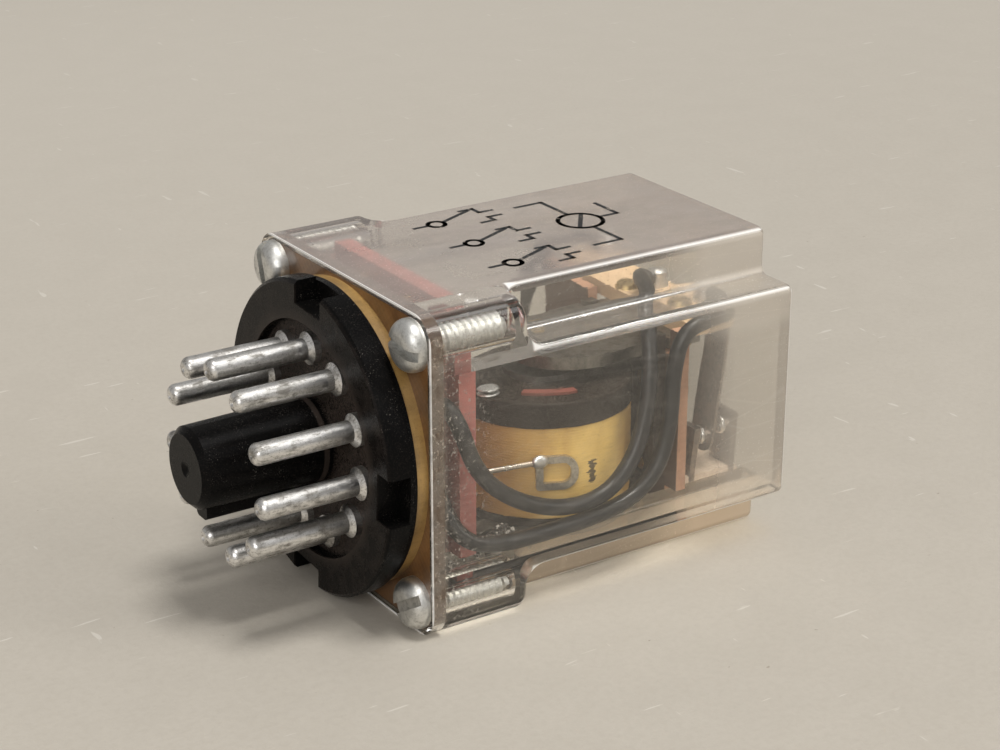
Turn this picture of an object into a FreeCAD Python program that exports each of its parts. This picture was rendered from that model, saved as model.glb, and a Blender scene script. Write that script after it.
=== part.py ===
import FreeCAD, Part
import math
import os
import re

import Sketcher

# Plug-in power relay with eleven pins and three changeover contacts, lying on one long side.
# X runs along the relay: the pins point to -X and the closed end of the clear cover is at +X.
# The origin is the centre of the pin circle in the seating plane, and all sizes are millimetres.

SIZES = [
    ("cover_wall", 1.4, "wall of the cover"),
    ("corner_step", 5.2, "step cut out of each long corner behind the bosses"),
    ("boss_long", 11.9, "full square length of the cover at its mouth"),
    ("boss_round", 3.0, "radius of the four corners at the mouth"),
    ("boss_sweep", 2.2, "hollow radius where a boss falls to its step"),
    ("step_root", 0.8, "hollow radius along the root of a step"),
    ("edge_round", 1.0, "radius along the other outside edges"),
    ("lip_wall", 0.55, "thin rim round the base plate"),
    ("lip_proud", 0.2, "how far the rim stands in front of the plate"),
    ("plate_gap", 0.05, "clearance of the plate inside the rim"),
    ("plate_thick", 1.5, "brown base plate"),
    ("disc_thick", 1.4, "amber disc"),
    ("disc_step", 0.55, "how much smaller the amber disc is than the flange"),
    ("base_thick", 3.4, "flange of the black pin base"),
    ("head_gap", 0.19, "screw heads clear of the flange"),
    ("rim_back", 0.8, "thickness of the smaller rear rim of the flange"),
    ("rim_step", 0.35, "how much smaller the rear rim is"),
    ("rim_bevel", 0.4, "bevel on the front edge of the flange"),
    ("rim_wide", 4.3, "rim round the well"),
    ("well_deep", 1.2, "depth of the well"),
    ("slot_wide", 5.4, "notches in the rim of the flange"),
    ("slot_deep", 2.7, "notches in the rim of the flange"),
    ("slot_count", 4, "notches in the rim of the flange"),
    ("slot_turn", 4.0, "turn of the notches against the pins, degrees"),
    ("spigot_root", 4.7, "radius of the guide spigot at the well floor"),
    ("spigot_tip", 4.45, "radius of the guide spigot near its end"),
    ("spigot_long", 14.1, "guide spigot in front of the seating plane"),
    ("spigot_bevel", 0.7, "bevel at the end of the spigot"),
    ("dimple_radius", 0.9, "centre mark in the end of the spigot"),
    ("dimple_deep", 0.4, "centre mark in the end of the spigot"),
    ("key_wide", 2.4, "key along the underside of the spigot"),
    ("key_reach", 5.9, "distance of the key's crest from the axis"),
    ("key_short", 1.6, "how far the key stops behind the spigot's end"),
    ("pin_circle", 20.32, "diameter of the pin circle"),
    ("pin_count", 11, "pins"),
    ("pin_radius", 1.18, "pins"),
    ("pin_long", 11.2, "pins in front of the seating plane"),
    ("pin_dimple", 0.35, "mark in the tip of each pin"),
    ("collar_radius", 1.78, "foot of each pin"),
    ("collar_flare", 0.45, "cone between collar and pin"),
    ("stem_radius", 0.9, "thin stem of each pin through the base"),
    ("stem_out", 0.9, "stem behind the base plate"),
    ("stem_fit", 0.02, "clearance round each stem"),
    ("head_radius", 2.8, "head of a cover screw"),
    ("head_tall", 2.0, "head of a cover screw"),
    ("head_round", 1.5, "rounding of the head"),
    ("driver_wide", 1.1, "driver slot in the head"),
    ("driver_deep", 0.9, "driver slot in the head"),
    ("shank_radius", 1.26, "core of a cover screw's thread"),
    ("thread_radius", 1.5, "crests of the thread, which cut into the boss"),
    ("shank_long", 10.0, "shank of a cover screw"),
    ("shank_point", 1.0, "bevelled end of the shank"),
    ("screw_fit", 0.05, "clearance round the thread"),
    ("bore_over", 0.6, "screw bores deeper than the screws"),
    ("red_gap", 3.7, "space between base plate and insulating plate"),
    ("red_thick", 2.0, "red insulating plate"),
    ("red_side", 2.55, "room for leads on both sides of the insulating plate"),
    ("red_clear", 0.35, "insulating plate clear of the cover above, below and at the steps"),
    ("lane_gap", 1.0, "middle of the floor leads above the cover's wall"),
    ("notch_tall", 2.2, "wire notches in the bottom edge of the insulating plate"),
    ("notch_side", 0.9, "wire notches reach this far past the wires"),
    ("spacer_radius", 1.4, "spacer tubes between the two plates"),
    ("rivet_radius", 0.8, "rivets through the spacers"),
    ("rivet_head", 1.4, "heads of these rivets"),
    ("rivet_flat", 0.5, "thickness of a rivet head"),
    ("rivet_fit", 0.02, "clearance round rivets"),
    ("board_rivet", 4.7, "rivets of the board from the middle of the yoke"),
    ("board_rivet_down", 3.6, "upper rivets of the board below the armature"),
    ("board_rivet_up", 1.9, "lower rivets of the board above the block"),
    ("top_rivet_side", 4.5, "upper rivets from the middle"),
    ("top_rivet_inset", 2.8, "upper rivets from the plate's top edge"),
    ("foot_rivet_side", 1.8, "lower rivets from the middle of the yoke"),
    ("foot_rivet_gap", 0.15, "heads of the lower rivets below the yoke's bend"),
    ("coil_front", 4.95, "room between insulating plate and coil"),
    ("coil_radius", 10.0, "amber tape round the winding"),
    ("coil_back", 0.25, "room between coil and upright"),
    ("lead_room", 2.8, "room for leads between coil and cover"),
    ("flange_step", 0.15, "how far the flanges stand out from the tape"),
    ("pole_tall", 0.7, "pole shoe above the upper flange"),
    ("upper_flange", 2.9, "thickness of the upper flange"),
    ("lower_flange", 0.9, "thickness of the lower flange"),
    ("tube_wall", 0.9, "tube of the bobbin"),
    ("core_radius", 3.5, "iron core"),
    ("core_tenon", 2.4, "riveted end of the core in the yoke"),
    ("pole_radius", 4.2, "pole shoe"),
    ("coil_fit", 0.03, "clearance between core, tube and winding"),
    ("leg_gap", 0.15, "top of the yoke's leg above the cover's step"),
    ("yoke_thick", 1.4, "steel strip of the yoke"),
    ("yoke_leg", 7.0, "width of the yoke under the coil"),
    ("yoke_wide", 14.0, "width of the yoke's upright"),
    ("upright_step", 2.5, "narrow foot of the upright"),
    ("bend_round", 1.2, "outside bends of the yoke"),
    ("lug_wide", 1.3, "lugs that keep the armature in place"),
    ("lug_tall", 1.9, "lugs above the armature's underside"),
    ("rock_gap", 0.04, "gap between armature and yoke"),
    ("arm_under", 5.3, "height of the armature's underside"),
    ("arm_thick", 1.4, "armature"),
    ("arm_reach", 3.8, "rounded end of the armature in front of the coil's axis"),
    ("tail_seat", 3.0, "tail of the armature under the carrier"),
    ("arm_notch", 0.25, "clearance of the armature round the lugs"),
    ("arm_flat", 0.3, "half of the flat at the rounded end of the armature"),
    ("lift_angle", 4.6, "stroke of the armature, degrees"),
    ("pole_clear", 0.06, "gap left at the pole when the armature is down"),
    ("stud_radius", 0.8, "brass stud that keeps the armature off the pole"),
    ("stud_proud", 0.1, "stud below the armature"),
    ("board_thick", 1.3, "contact board"),
    ("board_ear", 1.7, "board between its window and its side edge"),
    ("board_top", 8.0, "top of the contact board"),
    ("board_foot", 3.35, "bottom edge of the board above the cover's wall"),
    ("board_gap", 0.4, "board below the armature's tail"),
    ("window_gap", 0.8, "board beside the armature's tail"),
    ("block_back", 0.563, "block behind the rear bars"),
    ("pole_pitch", 9.2, "outer contacts from the middle one"),
    ("block_gap", 0.25, "ends of the block clear of the cover's step"),
    ("end_room", 0.6, "block clear of the closed end"),
    ("block_foot", 2.05, "bottom of the block above the cover's wall"),
    ("block_tall", 3.7, "height of the block"),
    ("block_bevel", 0.5, "bevel along the top of the block"),
    ("carrier_gap", 0.8, "carrier behind the board"),
    ("tail_gap", 0.2, "blades behind the armature's tail"),
    ("carrier_over", 2.5, "carrier beyond the middle of the outer contacts"),
    ("carrier_thick", 1.6, "contact carrier"),
    ("blade_thick", 0.35, "moving blades"),
    ("blade_wide", 3.7, "moving blades"),
    ("blade_inset", 0.2, "blades inside the carrier's rear edge"),
    ("blade_lean", 2.2, "how far a blade leans towards the coil"),
    ("blade_rise", 2.1, "lower ends of the blades above the block"),
    ("foot_long", 3.2, "foot of a blade under the carrier"),
    ("contact_up", 1.8, "contacts above the lower end of a blade"),
    ("contact_radius", 1.1, "contact rivets"),
    ("contact_tall", 0.8, "height of a contact"),
    ("contact_gap", 0.03, "gap left where contacts meet"),
    ("contact_round", 0.5, "rounding of a contact"),
    ("bar_thick", 0.8, "fixed contact bars"),
    ("bar_wide", 3.4, "fixed contact bars"),
    ("bar_over", 1.7, "bars above the middle of their contacts"),
    ("tail_wide", 1.2, "solder tails of the bars"),
    ("tail_foot", 0.45, "solder tails above the cover's wall"),
    ("bar_fit", 0.03, "clearance of the bars in the block"),
    ("blade_rivet_in", 1.5, "rivets of the blades behind the armature's tail"),
    ("blade_rivet", 0.7, "rivets that hold the blades"),
    ("solder_radius", 1.3, "soldered head on each blade rivet"),
    ("solder_tall", 1.9, "soldered head on each blade rivet"),
    ("carrier_rivet_side", 5.2, "these rivets from the middle of the yoke"),
    ("spring_in", 1.1, "return spring from the carrier's front edge"),
    ("spring_aside", 1.2, "return spring beside the middle of the yoke"),
    ("spring_radius", 1.1, "mean radius of the return spring"),
    ("spring_wire", 0.4, "wire of the return spring"),
    ("spring_low", -4.4, "lowest turn of the return spring"),
    ("spring_high", 3.6, "highest turn of the return spring"),
    ("spring_pitch", 0.8, "pitch of the return spring"),
    ("spring_down", 1.7, "straight end below the turns"),
    ("hook_gap", 0.15, "spring hook above the carrier"),
    ("lead_radius", 0.9, "flexible leads"),
    ("wire_radius", 0.6, "leads to the fixed contacts"),
    ("coil_wire", 0.3, "bare coil leads"),
    ("lead_clear", 0.1, "flexible leads clear of the cover"),
    ("bend_room", 1.6, "straight end of a coil lead behind the insulating plate"),
    ("tag_long", 4.6, "solder tag of the coil"),
    ("tag_tall", 3.9, "solder tag of the coil"),
    ("tag_thick", 0.5, "solder tag of the coil"),
    ("tag_band", 0.8, "width of the metal round the tag's hole"),
    ("tag_turn", 24.0, "where the tags sit round the coil, degrees"),
    ("tag_height", -4.5, "middle of the tags"),
]

PLACES = [
    ("pin_ring", "pin_circle / 2"),
    ("stem_hole", "stem_radius + stem_fit"),
    ("plate_front", "base_thick + disc_thick"),
    ("plate_back", "plate_front + plate_thick"),
    ("stem_end", "plate_back + stem_out"),
    ("mouth_x", "plate_front - lip_proud"),
    ("boss_end", "mouth_x + boss_long"),
    ("block_side", "pole_pitch + bar_wide / 2"),
    ("inner_step", "block_side + block_gap"),
    ("step_half", "inner_step + cover_wall"),
    ("side_half", "step_half + corner_step"),
    ("inner_half", "side_half - cover_wall"),
    ("rebate_half", "side_half - lip_wall"),
    ("plate_half", "rebate_half - plate_gap"),
    ("screw_side", "plate_half - head_radius"),
    ("screw_hole", "thread_radius + screw_fit"),
    ("base_radius", "screw_side * sqrt(2) - head_radius - head_gap"),
    ("disc_radius", "min(base_radius - disc_step; plate_half)"),
    ("well_radius", "max(base_radius - rim_wide; pin_ring + collar_radius * 1.2)"),
    ("red_front", "plate_back + red_gap"),
    ("red_back", "red_front + red_thick"),
    ("foot_back", "red_back + yoke_thick"),
    ("red_half", "inner_half - red_clear"),
    ("red_side_half", "inner_half - red_side"),
    ("red_notch", "inner_step - red_clear"),
    ("top_rivet_up", "red_half - top_rivet_inset"),
    ("foot_rivet_down", "rivet_head + foot_rivet_gap - yoke_bottom"),
    ("floor_lane", "lane_gap - inner_half"),
    ("flange_radius", "coil_radius + flange_step"),
    ("coil_x", "red_back + coil_front + flange_radius"),
    ("upright_x", "coil_x + flange_radius + coil_back"),
    ("upright_back", "upright_x + yoke_thick"),
    ("board_front", "upright_back"),
    ("board_back", "board_front + board_thick"),
    ("work_bar_x", "closed_x + (block_top - closed_z) * tan(closed_tilt * 1deg)"
                   " + contact_stack / cos(closed_tilt * 1deg)"),
    ("block_end", "work_bar_x + bar_thick + block_back"),
    ("block_long", "block_end - board_back"),
    ("cover_end", "block_end + end_room + cover_wall"),
    ("cover_long", "cover_end - mouth_x"),
    ("coil_y", "flange_radius + lead_room - inner_half"),
    ("leg_top", "leg_gap - inner_step"),
    ("yoke_bottom", "leg_top - yoke_thick"),
    ("foot_low", "-red_half"),
    ("yoke_top", "arm_under - rock_gap"),
    ("arm_top", "arm_under + arm_thick"),
    ("arm_side", "yoke_wide / 2"),
    ("arm_front", "coil_x - arm_reach"),
    ("pole_top", "arm_under - (upright_x - arm_front) * sin(lift_angle * 1deg) - pole_clear"),
    ("flange_top", "pole_top - pole_tall"),
    ("winding_low", "leg_top + lower_flange"),
    ("winding_high", "flange_top - upper_flange"),
    ("tube_inner", "core_radius + coil_fit"),
    ("tube_outer", "tube_inner + tube_wall"),
    ("board_side", "arm_side + window_gap + board_ear - coil_y"),
    ("board_low", "board_foot - inner_half"),
    ("block_low", "block_foot - inner_half"),
    ("block_top", "block_low + block_tall"),
    ("carrier_side", "pole_pitch + carrier_over"),
    ("carrier_front", "board_back + carrier_gap"),
    ("carrier_long", "tail_seat + tail_gap + foot_long + blade_inset"),
    ("carrier_end", "carrier_front + carrier_long"),
    ("arm_tail", "carrier_front + tail_seat"),
    ("carrier_low", "arm_top"),
    ("carrier_top", "carrier_low + carrier_thick"),
    ("blade_rivet_x", "arm_tail + blade_rivet_in"),
    ("carrier_rivet_x", "carrier_front + tail_seat / 2"),
    ("spring_x", "carrier_front + spring_in"),
    ("spring_y", "coil_y - spring_aside"),
    ("tail_low", "tail_foot - inner_half"),
    ("foot_top", "carrier_low"),
    ("foot_under", "foot_top - blade_thick"),
    ("blade_x", "carrier_end - blade_inset"),
    ("blade_low_x", "blade_x - blade_lean"),
    ("blade_low", "block_top + blade_rise"),
    ("blade_run", "blade_x - blade_thick / 2 - blade_low_x"),
    ("blade_drop", "foot_under - blade_low"),
    ("blade_slope", "blade_run / blade_drop"),
    ("blade_tilt", "atan(blade_slope) / 1deg"),
    ("contact_z", "blade_low + contact_up"),
    ("contact_x", "blade_low_x + contact_up * blade_slope"),
    ("contact_stack", "blade_thick / 2 + contact_tall * 2 + contact_gap"),
    ("closed_x", "upright_x + (contact_x - upright_x) * cos(lift_angle * 1deg)"
                 " - (contact_z - arm_under) * sin(lift_angle * 1deg)"),
    ("closed_z", "arm_under + (contact_x - upright_x) * sin(lift_angle * 1deg)"
                 " + (contact_z - arm_under) * cos(lift_angle * 1deg)"),
    ("closed_tilt", "blade_tilt - lift_angle"),
]

SIZE_NAMES = {name for name, _, _ in SIZES}
PLACE_NAMES = {name for name, _ in PLACES}

doc = FreeCAD.newDocument("PowerRelay")
sizes = doc.addObject("Spreadsheet::Sheet", "Sizes")
places = doc.addObject("Spreadsheet::Sheet", "Places")


def with_sheet(text, names, sheet):
    """Puts a sheet's name in front of each of its names in an expression."""

    def named(found):
        word = found.group()
        return f"{sheet}.{word}" if word in names else word

    return re.sub(r"[a-z]+(?:_[a-z]+)+", named, text)


def cells(text):
    """An expression that other objects of the document can read."""
    return with_sheet(with_sheet(str(text), SIZE_NAMES, "Sizes"), PLACE_NAMES, "Places")


for row, (name, number, note) in enumerate(SIZES, start=1):
    sizes.set(f"A{row}", name)
    sizes.set(f"B{row}", str(number))
    sizes.set(f"C{row}", note)
    sizes.setAlias(f"B{row}", name)
doc.recompute()

for row, (name, formula) in enumerate(PLACES, start=1):
    places.set(f"A{row}", name)
    places.setAlias(f"B{row}", name)
for row, (name, formula) in enumerate(PLACES, start=1):
    places.set(f"B{row}", "=" + with_sheet(formula, SIZE_NAMES, "Sizes"))
doc.recompute()


def value(text):
    """The number that an expression gives now."""
    found = sizes.evalExpression(cells(text))
    return float(getattr(found, "Value", found))


def point(along, side, up):
    """A vector from three expressions."""
    return FreeCAD.Vector(value(along), value(side), value(up))


def new_body(name):
    body = doc.addObject("PartDesign::Body", name)
    body.Label = name
    return body


def origin_feature(body, role):
    return next(item for item in body.Origin.OriginFeatures if item.Role == role)


def sketch_on(body, role, offset="0"):
    """A sketch on one of the body's own planes, moved along the plane's normal."""
    sketch = body.newObject("Sketcher::SketchObject", body.Name + "_sketch")
    sketch.AttachmentSupport = [(origin_feature(body, role), "")]
    sketch.MapMode = "FlatFace"
    sketch.setExpression("AttachmentOffset.Base.z", cells(offset))
    return sketch


def fix_point(sketch, item, end, across, up):
    """Ties one point of the sketch to two expressions."""
    for kind, text in (("DistanceX", across), ("DistanceY", up)):
        made = sketch.addConstraint(Sketcher.Constraint(kind, -1, 1, item, end, value(text)))
        sketch.setExpression(f"Constraints[{made}]", cells(text))


def draw_polygon(sketch, corners):
    """A closed outline of straight edges through pairs of expressions."""
    spots = [FreeCAD.Vector(value(across), value(up), 0) for across, up in corners]
    first = sketch.GeometryCount
    count = len(spots)
    for i in range(count):
        sketch.addGeometry(Part.LineSegment(spots[i], spots[(i + 1) % count]), False)
    for i in range(count):
        following = first + (i + 1) % count
        sketch.addConstraint(Sketcher.Constraint("Coincident", first + i, 2, following, 1))
    for i, (across, up) in enumerate(corners):
        fix_point(sketch, first + i, 1, across, up)


def draw_box(sketch, left, right, low, high):
    draw_polygon(sketch, [(left, low), (right, low), (right, high), (left, high)])


def draw_circle(sketch, across, up, radius):
    centre = FreeCAD.Vector(value(across), value(up), 0)
    item = sketch.GeometryCount
    sketch.addGeometry(Part.Circle(centre, FreeCAD.Vector(0, 0, 1), value(radius)), False)
    fix_point(sketch, item, 3, across, up)
    made = sketch.addConstraint(Sketcher.Constraint("Radius", item, value(radius)))
    sketch.setExpression(f"Constraints[{made}]", cells(radius))


def draw_rounded_square(sketch, half, radius):
    """A square round the origin whose corners are arcs of one radius."""
    first = sketch.GeometryCount
    flat = f"({half} - ({radius}))"
    quarters = [("", "-"), ("", ""), ("-", ""), ("-", "-")]
    spots = [((half, "-" + flat), (half, flat)), ((flat, half), ("-" + flat, half)),
             (("-" + half, flat), ("-" + half, "-" + flat)),
             (("-" + flat, "-" + half), (flat, "-" + half))]
    for start, end in spots:
        ends = [FreeCAD.Vector(value(across), value(up), 0) for across, up in (start, end)]
        sketch.addGeometry(Part.LineSegment(*ends), False)
    for i, (side, up) in enumerate(quarters[1:] + quarters[:1]):
        centre = FreeCAD.Vector(value(side + flat), value(up + flat), 0)
        circle = Part.Circle(centre, FreeCAD.Vector(0, 0, 1), value(radius))
        sketch.addGeometry(Part.ArcOfCircle(circle, i * math.pi / 2, (i + 1) * math.pi / 2), False)
    for i, (start, end) in enumerate(spots):
        arc = first + 4 + i
        sketch.addConstraint(Sketcher.Constraint("Coincident", first + i, 2, arc, 1))
        sketch.addConstraint(Sketcher.Constraint("Coincident", arc, 2, first + (i + 1) % 4, 1))
        fix_point(sketch, first + i, 1, *start)
        fix_point(sketch, first + i, 2, *end)
        made = sketch.addConstraint(Sketcher.Constraint("Radius", arc, value(radius)))
        sketch.setExpression(f"Constraints[{made}]", cells(radius))


def pad(body, sketch, length):
    """Adds material from the sketch along its normal."""
    feature = body.newObject("PartDesign::Pad", body.Name + "_pad")
    feature.Profile = sketch
    feature.setExpression("Length", cells(length))
    doc.recompute()
    return feature


def pocket(body, sketch, length):
    """Cuts from the sketch along its normal, and makes sure that something was cut."""
    before = body.Shape.Volume
    feature = body.newObject("PartDesign::Pocket", body.Name + "_pocket")
    feature.Profile = sketch
    feature.Reversed = True
    feature.setExpression("Length", cells(length))
    doc.recompute()
    if body.Shape.Volume >= before:
        raise RuntimeError(f"a pocket in {body.Label} cuts nothing")
    return feature


def revolve(body, sketch, role):
    feature = body.newObject("PartDesign::Revolution", body.Name + "_revolution")
    feature.Profile = sketch
    feature.ReferenceAxis = (origin_feature(body, role), [""])
    feature.Angle = 360
    doc.recompute()
    return feature


def polar(body, feature, count):
    """Repeats a feature round the relay's axis."""
    pattern = body.newObject("PartDesign::PolarPattern", body.Name + "_polar")
    pattern.Originals = [feature]
    pattern.Axis = (origin_feature(body, "X_Axis"), [""])
    pattern.Angle = 360
    pattern.setExpression("Occurrences", cells(count))
    body.Tip = pattern
    doc.recompute()
    return pattern


def edges_where(shape, test):
    """Names of the edges whose middle and direction pass the test."""
    found = []
    for number, edge in enumerate(shape.Edges, start=1):
        middle = edge.CenterOfMass
        ends = [vertex.Point for vertex in edge.Vertexes]
        run = ends[-1] - ends[0]
        if test(edge, middle, run):
            found.append(f"Edge{number}")
    return found


def soften(body, kind, size, test):
    """Rounds or bevels the edges of the body that pass the test."""
    names = edges_where(body.Shape, test)
    if not names:
        raise RuntimeError(f"{body.Label} has no edge to soften")
    rough = body.Tip
    feature = body.newObject("PartDesign::" + kind, body.Name + "_" + kind.lower())
    feature.Base = (rough, names)
    feature.setExpression("Radius" if kind == "Fillet" else "Size", cells(size))
    body.Tip = feature
    doc.recompute()
    if not feature.isValid():
        raise RuntimeError(f"{body.Label}: {feature.getStatusString()}")
    return feature


def runs_along(run, axis):
    """True if an edge's run is along one axis."""
    others = [abs(run[i]) for i in range(3) if i != axis]
    return abs(run[axis]) > 1e-6 and max(others) < 1e-6


def near(a, b):
    return abs(a - b) < 1e-4


def place(item, along="0", side="0", up="0", turn=None, axis=(1, 0, 0)):
    """Sets the placement of a sub-part by expressions, with a turn in degrees."""
    for name, text in (("x", along), ("y", side), ("z", up)):
        item.setExpression("Placement.Base." + name, cells(text))
    if turn is not None:
        for name, part in zip("xyz", axis):
            item.setExpression("Placement.Rotation.Axis." + name, str(part))
        item.setExpression("Placement.Rotation.Angle", cells(turn))
    doc.recompute()


def group(name, members):
    """Separate solids that share one node."""
    made = doc.addObject("Part::Compound", name)
    made.Label = name
    made.Links = members
    doc.recompute()
    return made


def own_shape(name, shape):
    """A sub-part whose shape follows a route and is set directly."""
    made = doc.addObject("Part::Feature", name)
    made.Label = name
    made.Shape = shape
    return made


def pin_angle(number):
    """Angle of a pin round the axis; pins count clockwise from the key, seen from the pins."""
    step = 360 / value("pin_count")
    return -90 - (number - 0.5) * step


def pin_side(number):
    return f"-pin_ring * cos({pin_angle(number)}deg)"


def pin_up(number):
    return f"pin_ring * sin({pin_angle(number)}deg)"


# Clear cover: a square cup with four solid screw bosses at its mouth and stepped long corners.

def make_cover():
    body = new_body("cover")
    outline = sketch_on(body, "YZ_Plane", "mouth_x")
    draw_box(outline, "-side_half", "side_half", "-side_half", "side_half")
    pad(body, outline, "cover_long")
    corners = sketch_on(body, "YZ_Plane", "boss_end")
    for side in ("", "-"):
        for up in ("", "-"):
            draw_polygon(corners, [
                (side + "step_half", up + "step_half"),
                (side + "side_half * 1.2", up + "step_half"),
                (side + "side_half * 1.2", up + "side_half * 1.2"),
                (side + "step_half", up + "side_half * 1.2"),
            ])
    pocket(body, corners, "cover_end - boss_end + cover_wall")
    half = value("side_half")
    step = value("step_half")
    boss_end = value("boss_end")
    cover_end = value("cover_end")

    def step_root(edge, middle, run):
        return runs_along(run, 0) and near(abs(middle.y), step) and near(abs(middle.z), step)

    def boss_wall(edge, middle, run):
        return near(middle.x, boss_end) and not runs_along(run, 0) and max(
            abs(middle.y), abs(middle.z)) < half - 1e-3

    def boss_corner(edge, middle, run):
        return runs_along(run, 0) and near(abs(middle.y), half) and near(abs(middle.z), half)

    def long_edge(edge, middle, run):
        return runs_along(run, 0) and middle.x > boss_end and (
            near(abs(middle.y), half) or near(abs(middle.z), half))

    def end_edge(edge, middle, run):
        return near(middle.x, cover_end) and near(run.x, 0)

    soften(body, "Fillet", "boss_sweep", boss_wall)
    soften(body, "Fillet", "step_root", step_root)
    soften(body, "Fillet", "boss_round", boss_corner)
    soften(body, "Fillet", "edge_round", long_edge)
    soften(body, "Fillet", "edge_round", end_edge)
    hollow = sketch_on(body, "YZ_Plane", "mouth_x")
    draw_polygon(hollow, plus_outline("inner_half", "inner_half", "inner_step", "inner_step"))
    pocket(body, hollow, "cover_long - cover_wall")
    rebate = sketch_on(body, "YZ_Plane", "mouth_x")
    draw_rounded_square(rebate, "rebate_half", "boss_round - lip_wall")
    pocket(body, rebate, "plate_back - mouth_x")
    holes = sketch_on(body, "YZ_Plane", "plate_back")
    for side in ("", "-"):
        for up in ("", "-"):
            draw_circle(holes, side + "screw_side", up + "screw_side", "screw_hole")
    pocket(body, holes, "shank_long - plate_thick + bore_over")
    return body


def plus_outline(side, up, side_notch, up_notch):
    """Corners of a square with its four corners notched."""
    return [
        (side_notch, "-" + up), (side_notch, "-" + up_notch), (side, "-" + up_notch),
        (side, up_notch), (side_notch, up_notch), (side_notch, up),
        ("-" + side_notch, up), ("-" + side_notch, up_notch), ("-" + side, up_notch),
        ("-" + side, "-" + up_notch), ("-" + side_notch, "-" + up_notch),
        ("-" + side_notch, "-" + up),
    ]


# Base: brown plate, amber disc and black moulding with well, notches, spigot and key.

def drill_stems(body, start, depth):
    """Holes for the stems of the pins; the first is the pin at the top."""
    hole = sketch_on(body, "YZ_Plane", start)
    draw_circle(hole, "0", "pin_ring", "stem_hole")
    polar(body, pocket(body, hole, depth), "pin_count")


def make_base_plate():
    body = new_body("base_plate")
    outline = sketch_on(body, "YZ_Plane", "plate_front")
    draw_rounded_square(outline, "plate_half", "boss_round - lip_wall - plate_gap")
    pad(body, outline, "plate_thick")
    drill_stems(body, "plate_front", "plate_thick")
    screws = sketch_on(body, "YZ_Plane", "plate_front")
    for side in ("", "-"):
        for up in ("", "-"):
            draw_circle(screws, side + "screw_side", up + "screw_side", "screw_hole")
    pocket(body, screws, "plate_thick")
    shanks = sketch_on(body, "YZ_Plane", "plate_front")
    heads = sketch_on(body, "YZ_Plane", "plate_front")
    for side, up in RIVETS:
        draw_circle(shanks, side, up, "rivet_radius + rivet_fit")
        draw_circle(heads, side, up, "rivet_head + rivet_fit")
    pocket(body, shanks, "plate_thick")
    pocket(body, heads, "rivet_flat")
    return body


def make_disc():
    body = new_body("spacer_disc")
    outline = sketch_on(body, "YZ_Plane", "base_thick")
    draw_circle(outline, "0", "0", "disc_radius")
    pad(body, outline, "disc_thick")
    drill_stems(body, "base_thick", "disc_thick")
    return body


def make_pin_base():
    body = new_body("pin_base")
    profile = sketch_on(body, "XZ_Plane")
    draw_polygon(profile, [
        ("-spigot_long + dimple_deep", "0"),
        ("-spigot_long", "dimple_radius"),
        ("-spigot_long", "spigot_tip - spigot_bevel"),
        ("-spigot_long + spigot_bevel", "spigot_tip"),
        ("well_deep", "spigot_root"),
        ("well_deep", "well_radius"),
        ("0", "well_radius"),
        ("0", "base_radius - rim_bevel"),
        ("rim_bevel", "base_radius"),
        ("base_thick - rim_back", "base_radius"),
        ("base_thick - rim_back", "base_radius - rim_step"),
        ("base_thick", "base_radius - rim_step"),
        ("base_thick", "0"),
    ])
    revolve(body, profile, "X_Axis")
    key = sketch_on(body, "YZ_Plane", "key_short - spigot_long")
    draw_box(key, "-key_wide / 2", "key_wide / 2", "-key_reach", "-spigot_tip / 2")
    pad(body, key, "spigot_long - key_short + well_deep")
    crest = value("key_reach")
    soften(body, "Fillet", "key_wide / 4",
           lambda edge, middle, run: runs_along(run, 0) and near(middle.z, -crest))
    notch = sketch_on(body, "YZ_Plane")
    draw_box(notch, "-slot_wide / 2", "slot_wide / 2", "base_radius - slot_deep",
             "base_radius * 1.2")
    cut = pocket(body, notch, "base_thick - rim_back")
    notch.setExpression("AttachmentOffset.Rotation.Angle", cells("slot_turn"))
    doc.recompute()
    polar(body, cut, "slot_count")
    drill_stems(body, "well_deep", "base_thick - well_deep")
    return body


def make_pin(number):
    """One plated pin with a rounded, dimpled tip, a flared collar and a stem."""
    body = new_body(f"pin_{number}")
    profile = sketch_on(body, "XZ_Plane")
    draw_polygon(profile, [
        ("-pin_long + pin_dimple", "0"),
        ("-pin_long", "pin_dimple"),
        ("-pin_long", "pin_radius"),
        ("0", "pin_radius"),
        ("collar_flare", "collar_radius"),
        ("well_deep", "collar_radius"),
        ("well_deep", "stem_radius"),
        ("stem_end", "stem_radius"),
        ("stem_end", "0"),
    ])
    revolve(body, profile, "X_Axis")
    tip = value("-pin_long")
    radius = value("pin_radius")
    soften(body, "Fillet", "pin_radius * 0.68", lambda edge, middle, run: (
        edge.BoundBox.XMax < tip + 1e-4 and edge.BoundBox.ZLength > radius))
    place(body, "0", pin_side(number), pin_up(number))
    return body


def make_cover_screw(label, side, up, turn):
    """Slotted screw with a domed head; the slots stop at different angles."""
    body = new_body(label)
    profile = sketch_on(body, "XZ_Plane")
    draw_polygon(profile, [
        ("-head_tall", "0"), ("-head_tall", "head_radius"), ("0", "head_radius"),
        ("0", "shank_radius"), ("shank_long - shank_point", "shank_radius"),
        ("shank_long", "shank_radius - shank_point / 2"), ("shank_long", "0"),
    ])
    revolve(body, profile, "X_Axis")
    front = value("-head_tall")
    soften(body, "Fillet", "head_round",
           lambda edge, middle, run: edge.BoundBox.XMax < front + 1e-4)
    slot = sketch_on(body, "YZ_Plane", "-head_tall")
    draw_box(slot, "-head_radius * 1.1", "head_radius * 1.1", "-driver_wide / 2",
             "driver_wide / 2")
    pocket(body, slot, "driver_deep")
    place(body, "plate_front", side, up, turn)
    return body


# Inner frame: red plate on spacers, yoke, coil and contact board.

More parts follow.
